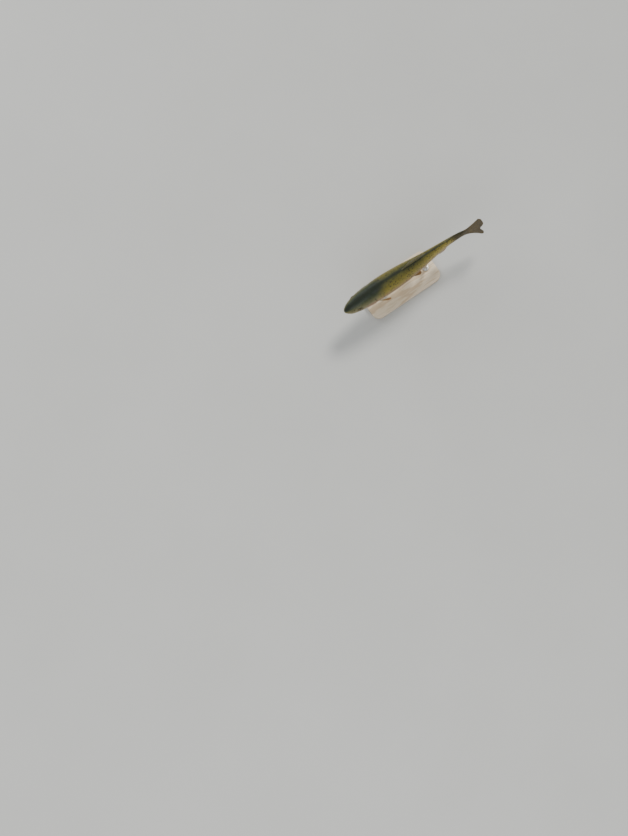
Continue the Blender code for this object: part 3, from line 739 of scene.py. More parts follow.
# Paired fins: root ends as (mm from the snout, degrees from the back), and the directions of the first and
# last rays as (back, out, down).
PECTORAL = dict(
    front=(86, 124), rear=(92, 142), lengths=(44, 50, 50, 46, 39, 30, 22), bend=0.12, camber=2.0, rays=14)
PECTORAL_RAYS = {
    "left": dict(first=(0.96, 0.17, 0.2), last=(0.78, 0.32, 0.52)),
    "right": dict(first=(0.94, 0.28, 0.16), last=(0.74, 0.44, 0.48)),
}
PELVIC = dict(front=(203, 152), rear=(214, 167), lengths=(38, 44, 44, 40, 34, 26), bend=0.12, camber=1.5,
              first=(0.85, 0.22, 0.5), last=(0.94, 0.03, 0.34), rays=10)
ROOT_SINK = 2.0  # mm inside the body where a fin's root starts
RAY_SAMPLES, FIN_STEPS = 10, 44  # points across each ray, and along it
MEMBRANE, PLEAT = 0.1, 0.28  # mm: the web's half thickness at the margin, and its folds between rays

# Tail fin: half heights at root and tips, the fork's notch, and how far each lobe leans out of the upright.
TAIL_ROOT_HALF, TAIL_TIP_HALF, TAIL_NOTCH = 18.2, 46.0, 440.0
NOTCH_LEVEL, NOTCH_WIDTH = -0.2, 0.26  # of the half height
UPPER_SHORTER = 10.0  # mm by which the upper lobe falls short of the lower
UPPER_LEAN, LOWER_LEAN = math.radians(12), math.radians(9)
TAIL_START, TAIL_RAYS = 386.0, 19
TIP_ROUNDING, TIP_SHARE = 0.012, 0.14  # total lengths cut from each tip, over its share of the lobe
TAIL_FLESH, TAIL_FLESH_SHARE = 2.6, 0.22  # half thickness at the root, and how far out it reaches
EDGE_STEEPNESS, EDGE_FLOOR = 40, 0.15  # how a fin thins to its free edge


def ray_ridges(u, v, rays):
    """How strongly each point of a fin lies on a ray: rays split in two, and again nearer the margin.

    The first two stay whole, as they are in life.
    """
    offset = (u * rays) % 1 - 0.5
    branched = smooth(1.2 / rays, 2.4 / rays, u)
    first = 0.21 * smooth(0.38, 0.95, v) * branched
    second = 0.095 * smooth(0.66, 1.0, v) * branched
    width = 0.2 - 0.115 * smooth(0.15, 1.0, v) * branched
    lines = [a * first + b * second for a in (-1, 1) for b in (-1, 1)]
    return np.max([hill(offset - line, width) for line in lines], axis=0)


def fin_solid(name, middle, normal, half, fields, finish):
    """A fin as a closed plate, from a grid of middle points (m) and their half thickness (mm)."""
    rows, columns = half.shape
    lift = normal * half[..., None] * MM
    points = np.concatenate([(middle + lift).reshape(-1, 3), (middle - lift).reshape(-1, 3)])
    front = grid_faces(rows, columns, False)
    back = front[:, ::-1] + rows * columns
    index = np.arange(rows * columns).reshape(rows, columns)
    rim = np.concatenate([index[0, :], index[1:, -1], index[-1, -2::-1], index[-2:0:-1, 0]])
    after = np.roll(rim, -1)
    side = np.stack([after, rim, rim + rows * columns, after + rows * columns], -1)
    inward = np.sum(np.cross(np.gradient(middle, axis=1), np.gradient(middle, axis=0)) * normal) < 0
    faces = [f[:, ::-1] if inward else f for f in (front, back, side)]
    fields = {key: np.tile(np.broadcast_to(values, half.shape).ravel(), 2) for key, values in fields.items()}
    made = mesh_piece(name, points, faces, finish, fields)
    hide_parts(name)


def free_edge(v):
    """What a fin's thickness is multiplied by as its free edge nears, at v = 1."""
    return np.sqrt(np.minimum((1 - v) * EDGE_STEEPNESS + EDGE_FLOOR, 1))


def fan(root, first, last, lengths, bend, rays, camber=0.0, ripple=0.5, phase=0.0):
    """Middle points (m), normals, half thickness (mm) and fields of rays that fan out from a root line.

    bend turns the rays' ends toward the last direction. camber and ripple hollow and wave the blade, in mm.
    """
    root, first, last = (np.asarray(v, float) for v in (root, first, last))
    u = np.linspace(0, 1, max(rays, 3) * RAY_SAMPLES + 1)[:, None]
    v = (np.linspace(0, 1, FIN_STEPS) ** 0.9)[None, :]
    ridge = ray_ridges(u, v, rays) if rays else np.zeros(np.broadcast(u, v).shape)
    margin = 1 - 0.012 * (1 - ray_ridges(u, 1.0, rays)) if rays else 1.0
    margin = margin - 0.02 * np.sin(u * 19 + phase) ** 2 - 0.012 * np.sin(u * 47 + 2 * phase) ** 2
    round_off = 1 - 0.05 * (1 - smooth(0, 0.05, u)) - 0.04 * (1 - smooth(0, 0.06, 1 - u))
    reach = hermite(np.linspace(0, 1, len(lengths)), lengths, u) * v * margin * round_off
    mix = (u + bend * v)[..., None]
    ray = unit(first * (1 - mix) + last * mix)
    normal = unit(np.cross(last, first))
    base = root[0] + (root[1] - root[0]) * u[..., None]
    hollow = camber * np.sin(math.pi * u) * v ** 2
    waves = ripple * np.sin(u * 7 + v * 2.2 + phase) * v ** 1.5
    pleat = PLEAT * np.cos(2 * math.pi * u * rays) * smooth(0.1, 0.9, v) if rays else 0.0
    middle = base + ray * reach[..., None] * MM + normal * ((hollow + waves + pleat) * MM)[..., None]
    flesh = 1.45 * hill(v, 0.1) + 0.35 * hill(v, 0.3)
    bone = ridge * (0.42 - 0.27 * v) * (1 + 0.8 * hill(u, 0.05))
    half = MEMBRANE + MEMBRANE * (1 - v) + flesh * np.ones_like(u) + bone
    half = np.where(rays, half, 0.4 + 1.3 * (1 - v) * np.sqrt(np.clip(np.sin(math.pi * u), 0, 1)))
    half = half * free_edge(v)
    fields = {"ray": ridge, "reach": v, "across": u, "span": reach}
    return middle, np.broadcast_to(normal, middle.shape), half, fields


def median_root(root, up):
    """The ends of a midline fin's root in the straight frame, mm, before it sinks in."""
    return [np.array([x, 0.0, station(1 if up > 0 else 2, x)]) for x in (s * TOTAL_LENGTH for s in root)]


def median_fin(name, root, up, slopes, lengths, bend, rays, finish):
    """A fin on the midline of the back (up is 1) or of the belly (-1)."""
    ends = [place(p - np.array([0, 0, up * ROOT_SINK])) for p in median_root(root, up)]
    turn = float(heading(sum(root) / 2))
    directions = [(math.cos(a) * math.cos(turn), -math.cos(a) * math.sin(turn), up * math.sin(a))
                  for a in (math.radians(slope) for slope in slopes)]
    parts = fan(ends, *directions, lengths, bend, rays, ripple=0.7 if rays else 0.2, phase=root[0] * 9)
    fin_solid(name, *parts, finish)


def paired_root(side, front, rear):
    """The ends of a paired fin's root in the straight frame, mm, and their normals; side is 1 on the left."""
    ends = [(along, side * math.radians(angle)) for along, angle in (front, rear)]
    return [(surface(*end), outward(*end)) for end in ends]


def paired_fin(name, side, front, rear, first, last, lengths, bend, camber, rays, finish):
    """A pectoral or pelvic fin, on the left (side is 1) or the right (-1)."""
    ends = [place(p - n * ROOT_SINK) for p, n in paired_root(side, front, rear)]
    directions = [(back, -side * out, -down) for back, out, down in (first, last)]
    parts = fan(ends, *directions, lengths, bend, rays, camber=side * camber, ripple=0.5, phase=side * 1.3)
    fin_solid(name, *parts, finish)


def tail_fin(finish):
    """The tail fin, from its lower edge to its upper."""
    u = np.linspace(-1, 1, TAIL_RAYS * RAY_SAMPLES + 1)[:, None]
    v = np.linspace(0, 1, FIN_STEPS + 8)[None, :]
    ray = (u + 1) / 2
    ridge = ray_ridges(1 - np.abs(u), v, TAIL_RAYS / 2)
    fork = 1 - hill(u - NOTCH_LEVEL, NOTCH_WIDTH)
    corner = TIP_ROUNDING * TOTAL_LENGTH * np.clip((np.abs(u) - 1 + TIP_SHARE) / TIP_SHARE, 0, 1) ** 2
    shorter = UPPER_SHORTER * np.clip(u, 0, 1) ** 1.5
    margin = TAIL_NOTCH + (TOTAL_LENGTH - TAIL_NOTCH) * fork - corner - shorter
    margin = margin - 0.5 * (1 - ray_ridges(1 - np.abs(u), 1.0, TAIL_RAYS / 2)) - 0.8 * np.sin(u * 17) ** 2
    along = TAIL_START + (margin - TAIL_START) * v
    past = np.clip((along - BODY_END) / (margin - BODY_END), 0, 1)
    spread = TAIL_ROOT_HALF + (TAIL_TIP_HALF - TAIL_ROOT_HALF) * past ** 1.15
    up = np.sign(u) * np.abs(u) ** 0.92 * spread
    lean = np.where(up > 0, math.tan(UPPER_LEAN), math.tan(LOWER_LEAN)) * up * past
    ripple = 0.8 * np.sin(ray * 9 + v * 3) * past ** 1.5 + 0.3 * np.cos(2 * math.pi * ray * TAIL_RAYS) * past
    middle = place(np.stack([along, lean + ripple, up], -1))
    normal = unit(np.cross(np.gradient(middle, axis=1), np.gradient(middle, axis=0)))
    normal = normal * np.sign(np.mean(normal[..., 1]))
    flesh = TAIL_FLESH * np.sqrt(1 - (u * 0.94) ** 2) * np.clip(1 - past / TAIL_FLESH_SHARE, 0, 1) ** 1.4
    strut = 1 + 1.2 * smooth(0.86, 0.98, np.abs(u))
    half = 0.12 + 0.15 * (1 - past) + flesh + ridge * (0.5 - 0.34 * past) * strut
    half = half * free_edge(v)
    fields = {"ray": ridge, "reach": past, "across": ray, "span": along - BODY_END}
    fin_solid("caudal_fin", middle, normal, half, fields, finish)


def fin_roots():
    """The root line of each fin in the straight frame, and the height and width of the flesh raised there."""
    lines = [(median_root(shape["root"], shape["up"]), 0.55, 2.2) for shape in MEDIAN_FINS.values()]
    for side in (1, -1):
        for shape, height, width in ((PECTORAL, 1.0, 3.2), (PELVIC, 0.8, 2.6)):
            ends = paired_root(side, shape["front"], shape["rear"])
            lines.append(([point for point, _ in ends], height, width))
    return lines


def fairing(points):
    """How far the skin rises round the fins' roots, mm."""
    out = np.zeros(len(points))
    for (start, stop), height, width in fin_roots():
        step = stop - start
        t = np.clip((points - start) @ step / (step @ step), 0, 1)
        out += height * hill(np.linalg.norm(points - start - t[:, None] * step, axis=1), width)
    return out


def make_fins(finishes):
    for name, shape in MEDIAN_FINS.items():
        median_fin(name, **shape, finish=finishes[name])
    for word, side in (("left", 1), ("right", -1)):
        for kind, shape in (("pectoral", PECTORAL | PECTORAL_RAYS[word]), ("pelvic", PELVIC)):
            paired_fin(f"{kind}_fin_{word}", side, **shape, finish=finishes["paired"])
    tail_fin(finishes["caudal_fin"])


# ---------------- eyes
PUPIL, EYE_RINGS, EYE_SEGMENTS = 2.7, 30, 64
EYE_CLEARANCE = 0.15  # mm that the ball is smaller round than the CAD's eye
CORNEA_BULGE, CORNEA_WIDTH = 0.45, 3.4
EYE_DEPTH_SHARE = 0.62  # of half a turn, from the front of the ball to the last ring inside the head


def make_eye(word, side, finish):
    """A flattened ball with a slightly bulging front; side is 1 on the left."""
    flip = np.array([1.0, side, 1.0])
    look, centre = EYE_NORMAL * flip, (EYE_POINT - EYE_NORMAL * (EYE_DEPTH_RADIUS - EYE_PROUD)) * flip
    ahead = unit(np.array([-1.0, 0, 0]) + look * look[0])
    above = unit(np.cross(ahead, look) * side)
    tilt = np.linspace(0, EYE_DEPTH_SHARE * math.pi, EYE_RINGS + 1)[1:, None]
    k, n = round_steps(EYE_SEGMENTS)
    turn = (k * 2 * math.pi / EYE_SEGMENTS)[None, :]
    r = (EYE_RADIUS - EYE_CLEARANCE) * np.sin(tilt)
    rise = EYE_DEPTH_RADIUS * np.cos(tilt) + CORNEA_BULGE * hill(r, CORNEA_WIDTH) * (tilt < math.pi / 2)
    flat = ahead * np.cos(turn)[..., None] + above * np.sin(turn)[..., None]
    points = centre + r[..., None] * flat + (rise * np.ones_like(turn))[..., None] * look
    front, rear = centre + look * (EYE_DEPTH_RADIUS + CORNEA_BULGE), centre + look * rise[-1, 0]
    points = np.concatenate([points.reshape(-1, 3), [front], [rear]])
    last = (EYE_RINGS - 1) * EYE_SEGMENTS
    faces = [grid_faces(EYE_RINGS, EYE_SEGMENTS, True), cap(last + EYE_SEGMENTS, n, k),
             cap(last + EYE_SEGMENTS + 1, last + k, last + n)]
    if side < 0:
        faces = [f[:, ::-1] for f in faces]
    # the pupil is drawn out a little toward the snout
    pear = r * (1 - 0.17 * hill(turn, 0.55) - 0.17 * hill(turn - 2 * math.pi, 0.55))
    fields = {"from_centre": pear, "upward": np.sin(turn), "turn": np.cos(turn)}
    fields = {key: np.append(np.broadcast_to(v, pear.shape), [0, 0]) for key, v in fields.items()}
    made = mesh_piece(f"eye_ball_{word}", place(points), faces, finish, fields)
    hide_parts(f"eye_{word}")


# ---------------- stand (metres)
BASE_CORNER, BASE_EDGE = 0.022, 0.0015
ROD_RADIUS, ROD_FILLET, ROD_TOP_SINK = 0.004, 0.003, 0.002
COLLAR_RADIUS, COLLAR_HEIGHT, COLLAR_EDGE, COLLAR_FOOT = 0.009, 0.0035, 0.0008, 0.0004


def link_mesh(name, bm, finish, smooth_angle):
    mesh = bpy.data.meshes.new(name)
    bm.to_mesh(mesh)
    bm.free()
    mesh.shade_smooth()
    mesh.set_sharp_from_angle(angle=math.radians(smooth_angle))
    return add_piece(name, mesh, finish)


def make_base(finish):
    low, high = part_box("stand_base")
    size, centre = high - low, (high + low) / 2
    bm = bmesh.new()
    bmesh.ops.create_cube(bm, size=1.0)
    bmesh.ops.scale(bm, verts=bm.verts, vec=size)
    bmesh.ops.translate(bm, verts=bm.verts, vec=centre)
    for upright, offset, segments in ((True, BASE_CORNER, 20), (False, BASE_EDGE, 5)):
        edges = [e for e in bm.edges if (abs(e.verts[0].co.z - e.verts[1].co.z) > size.z / 2) == upright]
        bmesh.ops.bevel(bm, geom=edges, offset=offset, segments=segments, profile=0.5, affect="EDGES")
    made = link_mesh("display_base", bm, finish, 50)
    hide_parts("stand_base")


def rod_profile(foot, top):
    """A turned rod's half outline, from its top down its outer side to its foot: shaft, fillet and collar."""
    shoulder = foot + COLLAR_HEIGHT
    fillet = [(ROD_RADIUS + ROD_FILLET * (1 - math.cos(a)), shoulder + ROD_FILLET * (1 - math.sin(a)))
              for a in np.linspace(0, math.pi / 2, 9)]
    rim = [(COLLAR_RADIUS - COLLAR_EDGE * (1 - math.sin(a)), shoulder - COLLAR_EDGE * (1 - math.cos(a)))
           for a in np.linspace(0, math.pi / 2, 5)]
    shaft = [(ROD_RADIUS, z) for z in np.linspace(top, shoulder + ROD_FILLET, 8)[:-1]]
    lower = [(COLLAR_RADIUS, foot + COLLAR_FOOT), (COLLAR_RADIUS - COLLAR_FOOT, foot)]
    return [(0, top), *shaft, *fillet, *rim, *lower, (0, foot)]


def make_rod(word, finish):
    low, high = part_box(f"stand_rod_{word}")
    centre = (low + high) / 2
    base_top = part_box("stand_base")[1].z
    bm = bmesh.new()
    points = [bm.verts.new((r, 0, z)) for r, z in rod_profile(base_top, high.z + ROD_TOP_SINK)]
    edges = [bm.edges.new(pair) for pair in zip(points, points[1:])]
    bmesh.ops.spin(bm, geom=points + edges, axis=(0, 0, 1), cent=(0, 0, 0), steps=64, angle=2 * math.pi)
    bmesh.ops.remove_doubles(bm, verts=bm.verts, dist=1e-6)
    bmesh.ops.recalc_face_normals(bm, faces=bm.faces)
    bmesh.ops.translate(bm, verts=bm.verts, vec=(centre.x, centre.y, 0))
    made = link_mesh(f"display_rod_{word}", bm, finish, 40)
    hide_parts(f"stand_rod_{word}")


# ---------------- materials

def method(name, flipped=False):
    """A method that does that sum on a Value and another input, which comes first where flipped is set."""

    def work(self, other=0.0):
        return self.paint.math(name, *((other, self) if flipped else (self, other)))

    return work


class Value:
    """A number or colour that nodes work out at each point. It adds and multiplies; | is the larger."""

    __add__, __sub__, __mul__ = method("ADD"), method("SUBTRACT"), method("MULTIPLY")
    __radd__, __rsub__ = method("ADD", True), method("SUBTRACT", True)
    __abs__, __or__ = method("ABSOLUTE"), method("MAXIMUM")

    def __init__(self, paint, socket):
        self.paint, self.socket = paint, socket

    def step(self, low, high, to=(0.0, 1.0)):
        return self.paint.step(low, high, self, to)


class Paint:
    """A Principled material and short ways to wire nodes into it. Inputs are numbers, colours or Values."""

    def __init__(self, name, **values):
        self.made = bpy.data.materials.new(name)
        self.made.use_nodes = True
        self.tree = self.made.node_tree
        self.set(**values)

    def set(self, **values):
        """Feed the shader's inputs, their names written with _ for each space."""
        for key, value in values.items():
            self.feed(self.tree.nodes["Principled BSDF"].inputs[key.replace("_", " ")], value)

    def feed(self, socket, value):
        if isinstance(value, Value):
            self.tree.links.new(value.socket, socket)
        elif isinstance(value, tuple) and socket.type == "RGBA":
            socket.default_value = (*value, 1)
        else:
            socket.default_value = value

    def node(self, kind, inputs, **settings):
        made = self.tree.nodes.new("ShaderNode" + kind)
        for key, value in settings.items():
            setattr(made, key, value)
        for key, value in inputs.items():
            self.feed(made.inputs[key], value)
        return made

    def value(self, kind, inputs, output=0, **settings):
        return Value(self, self.node(kind, inputs, **settings).outputs[output])

    def math(self, operation, a, b=0.0):
        return self.value("Math", {0: a, 1: b}, operation=operation)

    def mix(self, factor, a, b, how="MIX"):
        return self.value("Mix", {0: factor, 6: a, 7: b}, 2, data_type="RGBA", blend_type=how)

    def layers(self, colour, *coats):
        """A colour under coats of others: each a factor, a colour and, if not MIX, how they blend."""
        for factor, tone, *how in coats:
            colour = self.mix(factor, colour, tone, *how)
        return colour

    def step(self, low, high, value, to=(0.0, 1.0)):
        """From one end of to, at low, smoothly to the other, at high."""
        inputs = {"Value": value, "From Min": low, "From Max": high, "To Min": to[0], "To Max": to[1]}
        return self.value("MapRange", inputs, interpolation_type="SMOOTHSTEP")

    def ramp(self, value, stops):
        made = self.node("ValToRGB", {0: value})
        elements = made.color_ramp.elements
        while len(elements) < len(stops):
            elements.new(1.0)
        for element, (position, colour) in zip(elements, stops):
            element.position = position
            element.color = (*colour, 1)
        return Value(self, made.outputs[0])

    def field(self, name):
        return self.value("Attribute", {}, "Fac", attribute_name=name)

    def place(self, stretch=(1, 1, 1)):
        return self.value("Mapping", {"Vector": self.value("TexCoord", {}, "Object"), "Scale": stretch})

    def noise(self, where, scale, detail=3.0, roughness=0.55):
        inputs = {"Vector": where, "Scale": scale, "Detail": detail, "Roughness": roughness}
        return self.value("TexNoise", inputs, "Fac")

    def cells(self, where, scale):
        """Each point's distance to the nearest cell's middle, and that cell's own random number."""
        made = self.node("TexVoronoi", {"Vector": where, "Scale": scale})
        chance = self.value("SeparateColor", {0: Value(self, made.outputs["Color"])})
        return Value(self, made.outputs["Distance"]), chance

    def bump(self, height, distance, strength=1.0, **under):
        return self.value("Bump", {"Height": height, "Distance": distance, "Strength": strength, **under})


# Linear colours, from the back (0) round to the belly (1).
BODY_TONES = [(0.0, (0.022, 0.028, 0.008)), (0.04, (0.05, 0.054, 0.012)), (0.1, (0.098, 0.088, 0.014)),
              (0.2, (0.172, 0.142, 0.017)), (0.32, (0.262, 0.203, 0.024)), (0.42, (0.315, 0.222, 0.046)),
              (0.49, (0.35, 0.18, 0.095)), (0.55, (0.37, 0.265, 0.12)), (0.66, (0.45, 0.4, 0.24)),
              (0.8, (0.6, 0.575, 0.46)), (1.0, (0.7, 0.685, 0.61))]
# The rear body's tones: its golden flank, brighter and yellower there with a painted pool of light.
LIT_WRIST_TONES = [(0.0, (0.055, 0.056, 0.014)), (0.08, (0.18, 0.15, 0.022)), (0.22, (0.36, 0.275, 0.032)),
               (0.42, (0.44, 0.33, 0.06)), (0.5, (0.42, 0.27, 0.095)), (0.6, (0.44, 0.35, 0.145)),
               (0.8, (0.56, 0.52, 0.36)), (1.0, (0.62, 0.59, 0.48))]
HEAD_TONES = [(0.0, (0.006, 0.012, 0.005)), (0.1, (0.009, 0.017, 0.006)), (0.17, (0.034, 0.044, 0.016)),
              (0.25, (0.105, 0.104, 0.043)), (0.36, (0.178, 0.158, 0.068)), (0.5, (0.262, 0.218, 0.108)),
              (0.66, (0.38, 0.33, 0.208)), (0.84, (0.54, 0.5, 0.39)), (1.0, (0.62, 0.59, 0.5))]
# The first of these is painted shade across the tail's wrist.
WRIST_SHADE_TONE, RIDGE_TONE, LINE_TONE = (0.056, 0.042, 0.017), (0.01, 0.015, 0.006), (0.06, 0.05, 0.025)
SPOT_TONE, FIN_SPOT_TONE, PORE_TONE = (0.012, 0.011, 0.007), (0.012, 0.012, 0.008), (0.05, 0.04, 0.02)
ROSY_TONE, JAW_TONE, JOINT_TONE = (0.43, 0.14, 0.105), (0.36, 0.32, 0.17), (0.05, 0.045, 0.02)
MOTTLE_TONE, CLOUD_TONE = (0.55, 0.6, 0.5), (0.5, 0.5, 0.45)  # these two multiply what is under them
# The second of these is painted shade, laid into the head's creases, pits and gill opening.
GRAIN_TONE, CREASE_SHADE_TONE = (0.016, 0.019, 0.01), (0.018, 0.02, 0.01)
WOOD_TONES = [(0.0, (0.56, 0.43, 0.28)), (0.55, (0.66, 0.54, 0.38)), (1.0, (0.73, 0.62, 0.47))]
RAY_JOINT = 1.3  # mm between the joints of a fin's rays


def spots(paint, where, scale, radius, rarity, density):
    """Small dark spots, a chance to each cell, softer and fewer where density is low."""
    distance, chance = paint.cells(where, scale)
    distance = distance + (paint.noise(where, scale * 4.2, 3.0, 0.6) - 0.5) * 0.5
    size = chance.step(0.0, 1.0, (0.75, 1.3)) * radius
    present = (density + chance - rarity).step(0.0, 0.06)
    return (distance - size).step(0.06, -0.05) * present * paint.step(0.0, 0.1, density)


def fish_ground(paint, along, girth, broad, fine):
    """The fish's tones without its marks, and how much of the painted shade across the tail's wrist is in
    them.
    """
    wander = broad - 0.5
    level = girth + (wander * 0.1 + (fine - 0.5) * 0.045)
    # toward the tail, the rear body's tones, with their painted pool of light on the flank
    colour = paint.mix(along.step(0.5, 0.7), paint.ramp(level, BODY_TONES), paint.ramp(level, LIT_WRIST_TONES))
    nape = along + wander * 0.05 + girth * 0.17
    colour = paint.mix(nape.step(0.34, 0.23), colour, paint.ramp(level, HEAD_TONES))
    # painted shade across the tail's wrist, fading toward the belly
    tail = (along + wander * 0.04).step(0.745, 0.815) * (girth.step(1.0, 0.5) | along.step(0.8, 0.89))
    return paint.mix(tail * 0.95, colour, WRIST_SHADE_TONE), tail


def fish_lines(paint, where, along, girth, colour):
    """Mottling, a dark line down the back and the lateral line."""
    mottle = paint.noise(where, 75, 4.0, 0.6).step(0.35, 0.7)
    line = abs(girth - 2 * LATERAL_LINE).step(0.01, 0.0) * along.step(0.21, 0.24)
    return paint.layers(colour, (mottle * 0.22, MOTTLE_TONE, "MULTIPLY"),
                        (girth.step(0.06, 0.012) * 0.75, RIDGE_TONE), (line * 0.35, LINE_TONE))


def fish_spots(paint, where, along, girth):
    """Many on the back and toward the tail, few below the lateral line, finer ones on the head."""
    above = girth.step(0.66, 0.3)
    density = above * along.step(0.35, 0.85, (0.3, 0.62))
    on_body = along.step(0.2, 0.25)
    large = spots(paint, where, 165, 0.26, 0.72, density)
    small = spots(paint, where, 290, 0.24, 0.8, density) * 0.8
    on_head = spots(paint, where, 235, 0.22, 0.8, above * 0.3)
    freckles = spots(paint, where, 430, 0.25, 0.8, above * 0.34) * 0.75
    return (large | small) * on_body | (on_head | freckles) * (1 - on_body)


def scale_shades(paint, colour, silver):
    """Scales that differ a little, darker at their free rims, and the pores along the lateral line."""
    tone, rim = paint.field("tone"), paint.field("rim")
    shade = (tone * 0.34 + 0.83) * rim.step(0.45, 1.0, (1.06, 0.7))
    pore = paint.field("line") * rim.step(0.5, 0.0)
    colour = paint.layers(colour, (1.0, shade, "MULTIPLY"), (pore * 0.4, PORE_TONE))
    return colour, silver * 0.3 + tone * 0.06


def head_shades(paint, where, girth, colour, silver):
    """The rosy cheek, the jaw's pale line, dark grains on the crown and painted shade in the creases, pits
    and gill opening.
    """
    patchy = paint.noise(where, 110, 4.0, 0.65).step(0.2, 0.75, (0.75, 1.0))
    rosy = paint.field("blush") * girth.step(0.3, 0.46) * patchy
    grains = paint.noise(where, 520, 3.0, 0.6).step(0.58, 0.72) * girth.step(0.75, 0.25, (0.06, 0.34))
    colour = paint.layers(colour, (rosy * 0.48, ROSY_TONE), (paint.field("pale") * 0.4, JAW_TONE),
                          (grains, GRAIN_TONE), (paint.field("crease_shade") * 0.8, CREASE_SHADE_TONE))
    return colour, silver * 0.3


def fish_paint(name, coated):
    """The fish's colour, with painted light and shade, from its distance along and its girth: the same marks
    on skin and scales.
    """
    paint = Paint(name, Coat_Weight=0.2, Coat_Roughness=0.22, Coat_IOR=1.33, Specular_IOR_Level=0.3)
    where = paint.place()
    along, girth = paint.field("along"), paint.field("girth")
    broad, fine = paint.noise(where, 26), paint.noise(where, 140)
    colour, tail = fish_ground(paint, along, girth, broad, fine)
    colour = fish_lines(paint, where, along, girth, colour)
    colour = paint.mix(fish_spots(paint, where, along, girth) * 0.86, colour, SPOT_TONE)
    silver = girth.step(0.25, 0.62) * tail.step(1.0, 0.2)
    if coated:
        colour, metal = scale_shades(paint, colour, silver)
    else:
        colour, metal = head_shades(paint, where, girth, colour, silver)
    pitted = paint.bump(paint.noise(where, 900), 0.00012, 0.35)
    paint.set(Base_Color=colour, Metallic=metal, Roughness=fine.step(0.2, 0.8, (0.36, 0.52)) + tail * 0.28,
              Normal=paint.bump(broad, 0.0009, 0.25, Normal=pitted))
    return paint.made


def fin_paint(name, membrane, rays, margin, spotted, lead=None):
    """Membrane between rays, its margin darker or paler, with spots where the species has them."""
    paint = Paint(name, Roughness=0.45, Coat_Weight=0.2, Coat_Roughness=0.22)
    where, ray, reach = paint.place(), paint.field("ray"), paint.field("reach")
    clouds = paint.noise(where, 60).step(0.35, 0.75) * 0.3
    colour = paint.layers(membrane, (ray.step(0.1, 0.65), rays), (reach.step(0.55, 0.95) * 0.55, margin),
                          (reach.step(0.4, 0.0) * 0.45, rays), (clouds, CLOUD_TONE, "MULTIPLY"))
    if lead:
        colour = paint.mix(paint.field("across").step(0.12, 0.045) * 0.9, colour, lead)
    if spotted:
        colour = paint.mix(spots(paint, where, 205, 0.27, 0.5, spotted) * 0.85, colour, FIN_SPOT_TONE)
    joints = paint.math("SINE", paint.field("span") * (2 * math.pi / RAY_JOINT))
    joints = joints.step(0.6, 1.0) * ray * reach.step(0.25, 0.45)
    grain = paint.bump(paint.noise(where, 700), 0.00015, 0.5)
    paint.set(Base_Color=paint.mix(joints * 0.35, colour, JOINT_TONE),
              Normal=paint.bump(joints, 0.0001, 0.5, Normal=grain))
    return paint.made


def eye_paint():
    """A black pupil in a thin gold ring, a brassy mottled iris and a dark outer ring, under a wet cornea."""
    paint = Paint("wet_eye", Roughness=0.3, Specular_IOR_Level=0.15, Coat_Weight=0.75, Coat_Roughness=0.03,
                  Coat_IOR=1.33)
    r = paint.field("from_centre")
    flecks = paint.noise(paint.place(), 900, 4.0, 0.7).step(0.35, 0.75)
    above, sideways = paint.field("upward").step(0.1, 0.9), abs(paint.field("turn")).step(0.2, 0.9)
    colour = paint.layers((0.34, 0.235, 0.055), (flecks, (0.11, 0.075, 0.022)),
                          (above * 0.75, (0.035, 0.035, 0.014)), (sideways * 0.35, (0.06, 0.045, 0.018)),
                          (r.step(PUPIL + 0.42, PUPIL + 0.18), (0.62, 0.43, 0.11)),
                          (r.step(5.3, 6.6), (0.016, 0.016, 0.01)),
                          (r.step(PUPIL + 0.14, PUPIL - 0.04), (0.003, 0.004, 0.005)))
    metal = r.step(PUPIL, PUPIL + 0.3) * r.step(6.4, 5.2) * 0.65
    paint.set(Base_Color=colour, Metallic=metal)
    return paint.made


def wood_paint():
    """Pale maple: long soft figure along the base, fine pores and a satin varnish."""
    paint = Paint("pale_wood", Coat_Weight=0.25, Coat_Roughness=0.25)
    figure = paint.noise(paint.place((0.12, 1.0, 1.0)), 34, 4.0, 0.6)
    pores = paint.noise(paint.place((0.03, 1.0, 1.0)), 1400, 2.0)
    rings = paint.math("SINE", figure * 34.0).step(-1.0, 1.0)
    colour = paint.ramp(rings, WOOD_TONES)
    colour = paint.layers(colour, (pores.step(0.55, 0.75) * 0.35, (0.42, 0.3, 0.18)),
                          (paint.noise(paint.place(), 9.0, 2.0) * 0.25, (0.6, 0.46, 0.31)))
    paint.set(Base_Color=colour, Roughness=pores.step(0.0, 1.0, (0.34, 0.52)),
              Normal=paint.bump(pores, 0.00012, 0.4))
    return paint.made


def steel_paint():
    """Turned and brushed steel, its marks running round the rod."""
    paint = Paint("brushed_rod", Metallic=1.0)
    marks = paint.noise(paint.place((0.04, 0.04, 1.0)), 4200, 2.0)
    smear = paint.noise(paint.place(), 90)
    paint.set(Base_Color=paint.mix(smear, (0.55, 0.545, 0.53), (0.66, 0.65, 0.63)),
              Roughness=marks.step(0.3, 0.7, (0.22, 0.36)) + smear * 0.08,
              Normal=paint.bump(marks, 0.00004, 0.5))
    return paint.made


def floor_paint():
    paint = Paint("pale_floor", Roughness=0.75)
    clouds, grain = paint.noise(paint.place(), 3.0, 4.0), paint.noise(paint.place(), 220)
    paint.set(Base_Color=paint.mix(clouds, (0.5, 0.505, 0.495), (0.555, 0.56, 0.55)),
              Normal=paint.bump(grain, 0.0002, 0.2))
    return paint.made


# ---------------- stage, lights and camera
CAMERA_AZIMUTH, CAMERA_ELEVATION, CAMERA_DISTANCE, CAMERA_LENS = -35.0, 75.0, 12.4, 200.0
CAMERA_AIM = (-0.4194, -0.1925, 0.1)
LIT_POINT = (0.03, 0.0, 0.1)
FLOOR_SIZE = 30.0


def make_floor():
    bm = bmesh.new()
    bmesh.ops.create_grid(bm, x_segments=1, y_segments=1, size=FLOOR_SIZE)
    mesh = bpy.data.meshes.new("floor")
    bm.to_mesh(mesh)
    bm.free()
    mesh.materials.append(floor_paint())
    add_object("floor", mesh)


